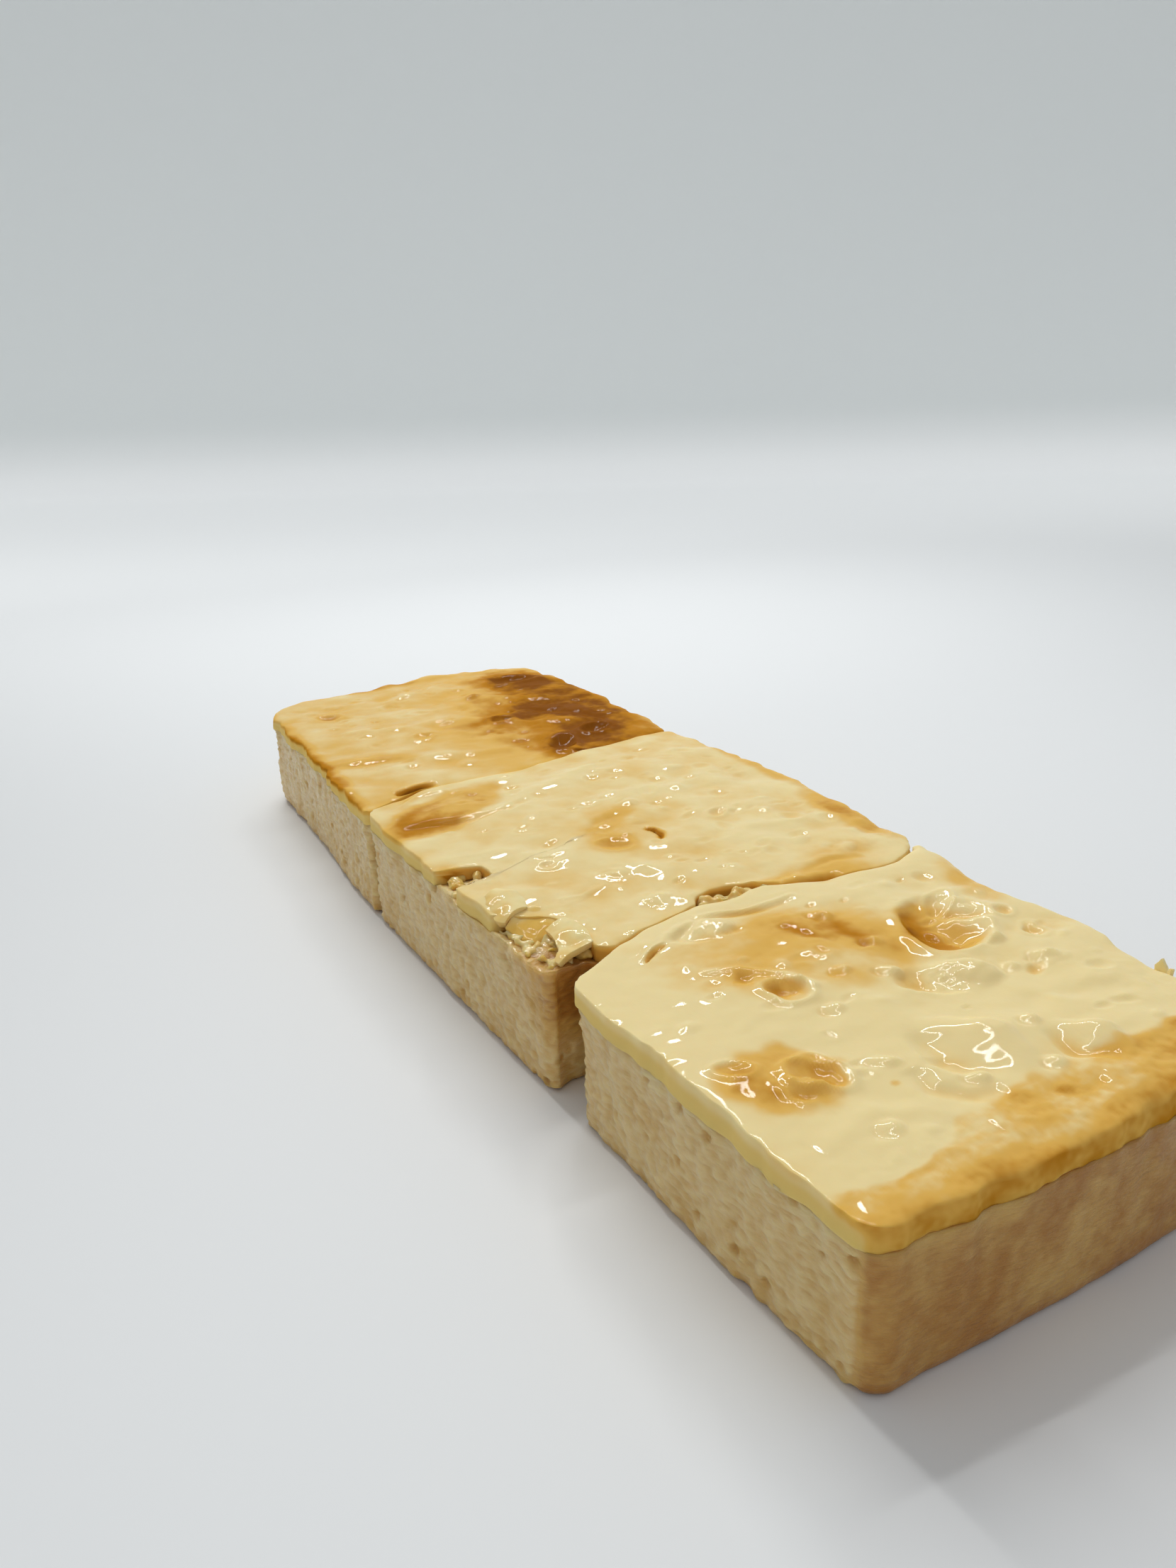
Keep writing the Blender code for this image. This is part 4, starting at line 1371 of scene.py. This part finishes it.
@dataclass(frozen=True)
class FoodFinish:
    """A moist baked food: four colours from pale to dark, one for cut faces, gloss and fine relief."""

    name: str
    pale: Triple
    golden: Triple
    brown: Triple
    dark: Triple
    inner: Triple
    mottling: float
    mottle_sizes: Pair
    roughness: Pair
    specular: float
    coat: Pair
    subsurface: float
    subsurface_depth: float
    bump_scale: float
    bump_strands: float
    bump_depth: float
    gloss_range: float = 0.3
    dry_from: float = 0.25
    dry_to: float = 0.7
    coat_roughness: float = 0.05
    scatter: Triple = (1.0, 0.62, 0.28)

    def make(self, groups: Groups) -> bpy.types.Material:
        """Builds the material.

        Args:
            groups: The shared shader groups.

        Returns:
            The material.
        """
        material = bpy.data.materials.new(self.name)
        material.use_nodes = True
        made = Shader(material.node_tree)
        shader = material.node_tree.nodes["Principled BSDF"]
        place = made.add("ShaderNodeTexCoord").outputs["Object"]
        names = ("bake", "cut", "dull")
        read = [made.add("ShaderNodeAttribute", attribute_name=name).outputs["Fac"] for name in names]
        stored, inner, dull = read
        large, small = self.mottle_sizes
        mottle = made.add("ShaderNodeGroup", node_tree=groups.mottle, Vector=place, Large=large, Small=small)
        cloud = mottle.outputs[0]
        sum_up = made.add("ShaderNodeMath", operation="MULTIPLY_ADD", n0=cloud, n1=self.mottling, n2=stored)
        bake = sum_up.outputs[0]
        four = {name: (*getattr(self, name.lower()), 1.0) for name in ("Pale", "Golden", "Brown", "Dark")}
        colour = made.add("ShaderNodeGroup", node_tree=groups.baking, Bake=bake, **four).outputs[0]
        opened = made.add("ShaderNodeMix", data_type="RGBA", n0=inner, n6=colour, n7=(*self.inner, 1.0))
        gloss = self.ramp(made, cloud, (-self.gloss_range, self.gloss_range), self.roughness)
        grains = made.add("ShaderNodeGroup", node_tree=groups.grains, Vector=place, Scale=self.bump_scale,
                          Strands=self.bump_strands)
        bump = made.add("ShaderNodeBump", Height=grains.outputs[0], Strength=1.0, Distance=self.bump_depth)
        dry = self.ramp(made, bake, (self.dry_from, self.dry_to), self.coat)
        left = made.add("ShaderNodeMath", operation="SUBTRACT", n0=1.0, n1=dull)
        shine = made.add("ShaderNodeMath", operation="MULTIPLY", n0=dry, n1=left.outputs[0])
        made.fill(
            shader,
            Base_Color=opened.outputs[2],
            Roughness=gloss,
            Normal=bump.outputs[0],
            Specular_IOR_Level=self.specular,
            Coat_Weight=shine.outputs[0],
            Coat_Roughness=self.coat_roughness,
            Subsurface_Weight=self.subsurface,
            Subsurface_Radius=self.scatter,
            Subsurface_Scale=self.subsurface_depth,
        )
        return material

    def ramp(
        self, made: Shader, value: bpy.types.NodeSocket, given: Pair, wanted: Pair
    ) -> bpy.types.NodeSocket:
        """Turns one range of a value into another, and returns what comes out."""
        ends = {"From_Min": given[0], "From_Max": given[1], "To_Min": wanted[0], "To_Max": wanted[1]}
        return made.add("ShaderNodeMapRange", Value=value, **ends).outputs[0]


CUSTARD = FoodFinish(
    name="baked_custard",
    pale=(0.92, 0.735, 0.36),
    golden=(0.82, 0.48, 0.10),
    brown=(0.54, 0.22, 0.012),
    dark=(0.24, 0.075, 0.004),
    inner=(0.82, 0.55, 0.13),
    mottling=0.1,
    mottle_sizes=(70.0, 330.0),
    roughness=(0.26, 0.38),
    specular=0.0,
    coat=(0.48, 0.11),
    subsurface=0.22,
    subsurface_depth=0.003,
    bump_scale=700.0,
    bump_strands=1.0,
    bump_depth=0.00006,
)

CASSAVA = FoodFinish(
    name="grated_cassava",
    pale=(0.80, 0.60, 0.28),
    golden=(0.66, 0.40, 0.11),
    brown=(0.43, 0.19, 0.035),
    dark=(0.2, 0.075, 0.015),
    inner=(0.8, 0.6, 0.28),
    mottling=0.14,
    mottle_sizes=(160.0, 700.0),
    roughness=(0.3, 0.5),
    specular=0.25,
    coat=(0.35, 0.2),
    subsurface=0.4,
    subsurface_depth=0.004,
    bump_scale=1100.0,
    bump_strands=0.92,
    bump_depth=0.0005,
)

CRUMB = replace(
    CASSAVA,
    name="moist_crumb",
    pale=(0.86, 0.66, 0.29),
    golden=(0.76, 0.47, 0.10),
    brown=(0.5, 0.25, 0.05),
    dark=(0.22, 0.09, 0.02),
    mottling=0.25,
    mottle_sizes=(300.0, 900.0),
    roughness=(0.22, 0.4),
    specular=0.3,
    coat=(0.3, 0.2),
    subsurface_depth=0.003,
    bump_scale=1500.0,
    bump_strands=0.5,
    bump_depth=0.00012,
)


@dataclass
class TornCrumb:
    """Moist clumps of cassava that stand up in the torn bays, as one lumpy piece."""

    count: int = 170
    smallest: float = 0.45
    largest: float = 1.3
    size_curve: float = 2.2
    voxel: float = 0.26
    softening: int = 9
    bay_x: Pair = (-38.0, -27.0)
    bay_y: Pair = (-46.0, -2.0)
    tries: int = 30
    from_cover: float = -0.2
    from_side: float = -1.5
    chip_count: int = 90
    chip_x: Pair = (-8.0, 4.0)
    chip_y: Pair = (-40.2, -36.9)
    chip_slant: float = 0.12
    chip_rise: float = 0.7
    rise: float = 0.5
    rises: Pair = (-0.3, 0.7)
    long: Pair = (0.9, 1.5)
    wide: Pair = (0.6, 0.9)
    tall: Pair = (0.45, 0.75)
    turns: Pair = (0.0, 6.28)
    knobs: Lumps = Lumps(0.25, 0.9, 3.0)
    apart: int = 7
    bake: float = 0.2
    blotches: Lumps = Lumps(0.3, 2.4, 2.0)

    def spots(self, rng: random.Random) -> np.ndarray:
        """Where the grains lie: in the bays, where no custard covers them, and in the chip.

        Args:
            rng: The seeded draw.

        Returns:
            Rows of x, y in mm.
        """
        outline = OUTLINES[Place.MIDDLE]
        cover, under = (outline.loop(LOOP_STEPS, layer) for layer in (Layer.CUSTARD, Layer.CASSAVA))
        tries = range(self.tries * self.count)
        drawn = np.array([(rng.uniform(*self.bay_x), rng.uniform(*self.bay_y)) for _ in tries])
        bare = (way_outside(cover, drawn) > self.from_cover) & (way_outside(under, drawn) < self.from_side)
        tries = range(self.chip_count)
        chip = np.array([(rng.uniform(*self.chip_x), rng.uniform(*self.chip_y)) for _ in tries])
        chip[:, 1] -= self.chip_slant * chip[:, 0]
        return np.concatenate([drawn[bare][: self.count], chip])

    def build(self) -> bpy.types.Object:
        """Models one grain, copies it over the bared top and melts the copies together.

        Returns:
            The finished piece.
        """
        rng = random.Random(SEED + 5)
        spots = self.spots(rng)
        select_none()
        bpy.ops.mesh.primitive_ico_sphere_add(subdivisions=2, radius=1.0)
        first = bpy.context.active_object
        first.name = first.data.name = "torn_crumb"
        grain = vertices_of(first)
        grains = [first]
        for spot in spots:
            size = self.smallest + (self.largest - self.smallest) * rng.random() ** self.size_curve
            turn = Matrix.Rotation(rng.uniform(*self.turns), 3, Vector((rng.random(), rng.random(), 1)))
            stretch = np.array([rng.uniform(*sizes) for sizes in (self.long, self.wide, self.tall)])
            knobbly = grain * (1 + self.knobs.at(grain + self.apart * len(grains)))[:, None]
            height = CASSAVA_TOP + self.rise + rng.uniform(*self.rises)
            height += self.chip_rise if spot[0] > self.chip_x[0] else 0.0
            copy = first.copy()
            copy.data = first.data.copy()
            bpy.context.scene.collection.objects.link(copy)
            set_vertices(copy, (knobbly * stretch * size) @ np.array(turn).T + (*spot, height))
            grains.append(copy)
        bpy.data.objects.remove(grains.pop(0), do_unlink=True)
        select_none()
        for copy in grains:
            copy.select_set(True)
        bpy.context.view_layer.objects.active = grains[0]
        bpy.ops.object.join()
        obj = bpy.context.active_object
        obj.name = obj.data.name = "torn_crumb"
        melt = obj.modifiers.new("melt", "REMESH")
        melt.mode = "VOXEL"
        melt.voxel_size = self.voxel * MM
        bpy.ops.object.modifier_apply(modifier=melt.name)
        soften = obj.modifiers.new("soften", "SMOOTH")
        soften.factor, soften.iterations = 0.5, self.softening
        bpy.ops.object.modifier_apply(modifier=soften.name)
        bpy.ops.object.shade_smooth()
        co = vertices_of(obj) / MM
        set_attribute(obj, "bake", np.clip(self.bake + self.blotches.at(co), 0, 1))
        select_none()
        return obj


@dataclass(frozen=True)
class TornFilm:
    """A thin torn flap of custard, hung between an inner and an outer line and ragged at its ends."""

    name: str
    inner: tuple[Triple, ...]
    outer: tuple[Triple, ...]
    bake: Pair
    thick: float = 0.7
    bulge: float = 0.3
    ripple: float = 0.3
    ragged: float = 0.2
    columns: int = 60
    rows: int = 36
    jags: Lumps = Lumps(1.0, 0.25, 70.0)
    ripples: tuple[Lumps, ...] = (Lumps(1.0, 3.2, 72.0), Lumps(0.25, 1.3, 73.0))
    rounding: float = 0.3
    browner: Pair = (0.5, 4.5)
    blotches: Lumps = Lumps(0.1, 1.8, 4.0)
    dull: float = 0.5

    def line(self, points: tuple[Triple, ...], share: np.ndarray) -> np.ndarray:
        """Points along a bent line, as rows of x, y, z."""
        knots = np.linspace(0, 1, len(points))
        return np.column_stack([np.interp(share, knots, np.array(points)[:, c]) for c in range(3)])

    def build(self) -> bpy.types.Object:
        """Models the flap.

        Returns:
            The finished piece, with its browning stored as an attribute.
        """
        obj, index = add_grid(self.name, self.columns, self.rows)
        u, v = index[:, 0] / self.columns, index[:, 1] / self.rows
        jag = self.jags.at(np.column_stack([u, 0 * u]))
        out = (v * (1 + self.ragged * v * jag))[:, None]
        place = self.line(self.inner, u) * (1 - out) + self.line(self.outer, u) * out
        place[:, 2] += self.bulge * np.sin(math.pi * v)
        place[:, 2] += self.ripple * lumpy(place[:, :2], self.ripples)
        set_vertices(obj, place)
        select_none()
        bpy.context.view_layer.objects.active = obj
        obj.select_set(True)
        thicken = obj.modifiers.new("thicken", "SOLIDIFY")
        thicken.thickness = self.thick * MM
        thicken.offset = 0.0
        bpy.ops.object.modifier_apply(modifier=thicken.name)
        soften = obj.modifiers.new("soften", "BEVEL")
        soften.width = self.rounding * self.thick * MM
        soften.segments = 2
        soften.limit_method = "ANGLE"
        bpy.ops.object.modifier_apply(modifier=soften.name)
        close_up(obj)
        co = vertices_of(obj) / MM
        co[:, :2] += DATUM
        inner = np.array(self.inner)[:, :2]
        way = np.min(np.hypot(co[:, :1] - inner[:, 0], co[:, 1:2] - inner[:, 1]), axis=1)
        low, high = self.bake
        bake = low + (high - low) * ease(way, *self.browner) + self.blotches.at(co)
        set_attribute(obj, "bake", np.clip(bake, 0, 1))
        set_attribute(obj, "dull", np.full(len(co), self.dull))
        return obj


FILMS = (
    TornFilm(
        "film_amber",
        ((-34.4, -27.0, 20.7), (-31.6, -25.6, 21.0), (-29.4, -27.6, 20.9), (-29.0, -31.0, 20.6),
         (-29.4, -33.6, 20.2)),
        ((-36.6, -28.6, 19.8), (-36.2, -30.2, 19.3), (-35.6, -31.8, 19.0), (-34.6, -33.0, 18.9),
         (-33.2, -33.6, 18.9)),
        (0.2, 0.34),
    ),
    TornFilm(
        "film_lobe",
        ((-28.6, -32.6, 21.0), (-28.2, -35.4, 21.1), (-28.2, -38.4, 21.0), (-28.8, -41.0, 20.7)),
        ((-32.4, -33.4, 20.4), (-32.6, -36.2, 20.2), (-33.6, -39.4, 20.0), (-35.2, -42.6, 19.6)),
        (0.08, 0.16),
        thick=1.0,
    ),
    TornFilm(
        "film_lump",
        ((-32.6, -18.6, 21.0), (-31.0, -20.8, 21.2), (-31.2, -24.0, 21.1), (-32.0, -26.4, 20.9)),
        ((-36.2, -20.4, 20.6), (-37.0, -22.6, 20.7), (-37.3, -25.4, 20.5), (-36.4, -28.2, 20.3)),
        (0.06, 0.2),
        thick=1.3,
        bulge=0.7,
        ripple=0.2,
    ),
    TornFilm(
        "film_tip",
        ((29.8, -88.8, 20.4), (29.9, -89.6, 20.4), (29.8, -90.4, 20.4), (29.6, -91.2, 20.4)),
        ((30.1, -88.6, 21.4), (30.3, -89.3, 22.6), (30.1, -90.5, 21.5), (29.9, -91.2, 22.0)),
        (0.04, 0.1),
        thick=0.55,
        bulge=0.0,
        ripple=0.15,
        ragged=0.3,
    ),
)


@dataclass(frozen=True)
class Lamp:
    """A broad lamp over the floor behind the cake: its size, place and tilt, from the backdrop's foot."""

    name: str
    power: float
    length: float
    width: float
    ahead: float
    aside: float
    tilt: float
    spread: float


@dataclass
class Studio:
    """A pale floor that sweeps up into a backdrop, soft lights, and the camera."""

    camera_place: Triple = (-0.10814, -0.18039, 0.10114)
    yaw: float = 29.61
    pitch: float = 19.57
    roll: float = 1.58
    focal_px: float = 1744.4
    frame_long_px: float = 2212.0
    sensor: float = 36.0
    ring_aside: float = -0.06
    ring_behind: float = 0.34
    ring_height: float = 0.56
    ring_half: float = 0.17
    ring_turn: float = 6.0
    ring_aim: float = -0.22
    strip_width: float = 0.021
    strip_power: float = 0.163
    strip_spread: float = 70.0
    glow: float = 0.46
    glow_colour: Triple = (0.96, 0.98, 1.0)
    floor_across: float = 8.0
    floor_along: float = 5.0
    floor_before: float = 2.0
    floor_steps: tuple[int, int] = (2, 1000)
    floor_roughness: float = 0.6
    wall: float = 0.78
    bend: float = 0.05
    floor_colour: Triple = (0.83, 0.845, 0.85)
    wall_colour: Triple = (0.815, 0.85, 0.845)
    lamp_height: float = 0.8
    lamps: tuple[Lamp, ...] = (
        Lamp("far_floor", 2.2, 2.4, 0.6, 0.2, 0.0, 8.0, 70.0),
        Lamp("side_floor", 0.3, 1.0, 0.2, 0.43, -0.38, 0.0, 40.0),
    )

    def camera(self) -> None:
        """Places the camera at the photograph's viewing angle."""
        data = bpy.data.cameras.new("camera")
        data.sensor_fit = "AUTO"
        data.sensor_width = self.sensor
        data.lens = self.sensor * self.focal_px / self.frame_long_px
        data.clip_start, data.clip_end = 0.005, 20.0
        camera = bpy.data.objects.new("camera", data)
        bpy.context.scene.collection.objects.link(camera)
        yaw, pitch, roll = (math.radians(a) for a in (self.yaw, self.pitch, self.roll))
        forward = Vector((math.sin(yaw) * math.cos(pitch), math.cos(yaw) * math.cos(pitch), -math.sin(pitch)))
        level = Vector((math.cos(yaw), -math.sin(yaw), 0.0))
        down = forward.cross(level)
        right = level * math.cos(roll) + down * math.sin(roll)
        down = down * math.cos(roll) - level * math.sin(roll)
        turn = Matrix((right, -down, -forward)).transposed()
        camera.matrix_world = Matrix.Translation(self.camera_place) @ turn.to_4x4()
        bpy.context.scene.camera = camera

    def surface(self) -> bpy.types.Material:
        """A plain matt material that turns from the floor's colour to the backdrop's as the sheet rises."""
        material = bpy.data.materials.new("studio_white")
        material.use_nodes = True
        made = Shader(material.node_tree)
        shader = material.node_tree.nodes["Principled BSDF"]
        place = made.add("ShaderNodeSeparateXYZ", Vector=made.add("ShaderNodeTexCoord").outputs["Object"])
        rise = made.add("ShaderNodeMapRange", Value=place.outputs["Z"], From_Min=0.0, From_Max=self.bend)
        low, high = (*self.floor_colour, 1.0), (*self.wall_colour, 1.0)
        colour = made.add("ShaderNodeMix", data_type="RGBA", n0=rise.outputs["Result"], n6=low, n7=high)
        made.fill(shader, Base_Color=colour.outputs[2], Roughness=self.floor_roughness)
        return material

    def sweep(self) -> None:
        """Models the floor and the backdrop as one sheet that curves up behind the cake."""
        columns, rows = self.floor_steps
        obj, index = add_grid("studio_sweep", columns, rows)
        across = (index[:, 0] / columns - 0.5) * self.floor_across
        run = index[:, 1] / rows * self.floor_along - self.floor_before
        wall, bend = self.wall, self.bend
        arc = np.clip((run - (wall - bend)) / (bend * math.pi / 2), 0, 1) * math.pi / 2
        past = np.clip(run - (wall - bend) - bend * math.pi / 2, 0, None)
        y = np.minimum(run, wall - bend) + bend * np.sin(arc)
        z = bend * (1 - np.cos(arc)) + past
        turn = math.radians(-self.yaw)
        cos, sin = math.cos(turn), math.sin(turn)
        place = np.column_stack([across * cos - y * sin, across * sin + y * cos, z])
        obj.data.vertices.foreach_set("co", place.ravel())
        obj.data.update()
        obj.data.materials.append(self.surface())
        obj.select_set(True)
        bpy.ops.object.shade_smooth()
        select_none()

    def lights(self) -> None:
        """Hangs a square of light strips behind and above the cake, and sets the room's own glow."""
        turn = Matrix.Rotation(math.radians(-self.yaw), 4, "Z")
        centre = turn @ Vector((self.ring_aside, self.ring_behind, self.ring_height))
        aim = Vector((0.0, self.ring_aim, 0.0)) - centre
        facing = aim.to_track_quat("-Z", "Y").to_matrix().to_4x4()
        for k in range(4):
            around = Matrix.Rotation(math.radians(self.ring_turn) + k * math.pi / 2, 4, "Z")
            outward = Matrix.Translation((0, self.ring_half, 0))
            place = Matrix.Translation(centre) @ facing @ around @ outward
            size = (2 * self.ring_half, self.strip_width)
            self.strip(f"strip_{k}", place, size, self.strip_power, self.strip_spread)
        for lamp in self.lamps:
            over = turn @ Vector((lamp.aside, self.wall - self.bend - lamp.ahead, self.lamp_height))
            place = Matrix.Translation(over) @ turn @ Matrix.Rotation(math.radians(lamp.tilt), 4, "X")
            self.strip(lamp.name, place, (lamp.length, lamp.width), lamp.power, lamp.spread)
        world = bpy.data.worlds.new("room")
        world.use_nodes = True
        back = world.node_tree.nodes["Background"]
        Shader(world.node_tree).fill(back, Color=(*self.glow_colour, 1.0), Strength=self.glow)
        bpy.context.scene.world = world

    def strip(self, name: str, place: Matrix, size: Pair, power: float, spread: float) -> None:
        """Adds one long soft light.

        Args:
            name: The light's name.
            place: Where it hangs and how it is turned.
            size: Its length and width in metres.
            power: Its power in watts.
            spread: How wide it shines, in degrees.
        """
        data = bpy.data.lights.new(name, "AREA")
        data.shape = "RECTANGLE"
        data.size, data.size_y = size
        data.energy = power
        data.spread = math.radians(spread)
        light = bpy.data.objects.new(name, data)
        light.matrix_world = place
        bpy.context.scene.collection.objects.link(light)

    def build(self) -> None:
        """Sets up the whole studio."""
        self.sweep()
        self.lights()
        self.camera()
        bpy.context.scene.view_settings.view_transform = "Standard"


def dress(obj: bpy.types.Object, material: bpy.types.Material, slot: str, *replaced: str) -> None:
    """Gives a piece its material and its place in the model.

    Args:
        obj: The piece.
        material: Its finish.
        slot: The record's material slot; not used.
        replaced: The CAD nodes that it stands for.
    """
    obj.data.materials.clear()
    obj.data.materials.append(material)
    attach(obj, "root")
    if replaced:
        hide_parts(*replaced)
    LOG.info("%s: %d faces", obj.name, len(obj.data.polygons))


def main() -> None:
    """Builds the cake's pieces in order, dresses them and sets up the studio."""
    groups = Groups(baking_group(), mottle_group(), grains_group())
    custard, cassava = CUSTARD.make(groups), CASSAVA.make(groups)
    for place in Place:
        dress(CassavaBody(place).build(), cassava, "cassava", f"cassava_{place.value}")
        dress(CustardLayer(place).build(), custard, "custard", f"custard_{place.value}")
    dress(TornCrumb().build(), CRUMB.make(groups), "cassava")
    for film in FILMS:
        dress(film.build(), custard, "custard")
    Studio().build()


if __name__ == "__main__":
    main()
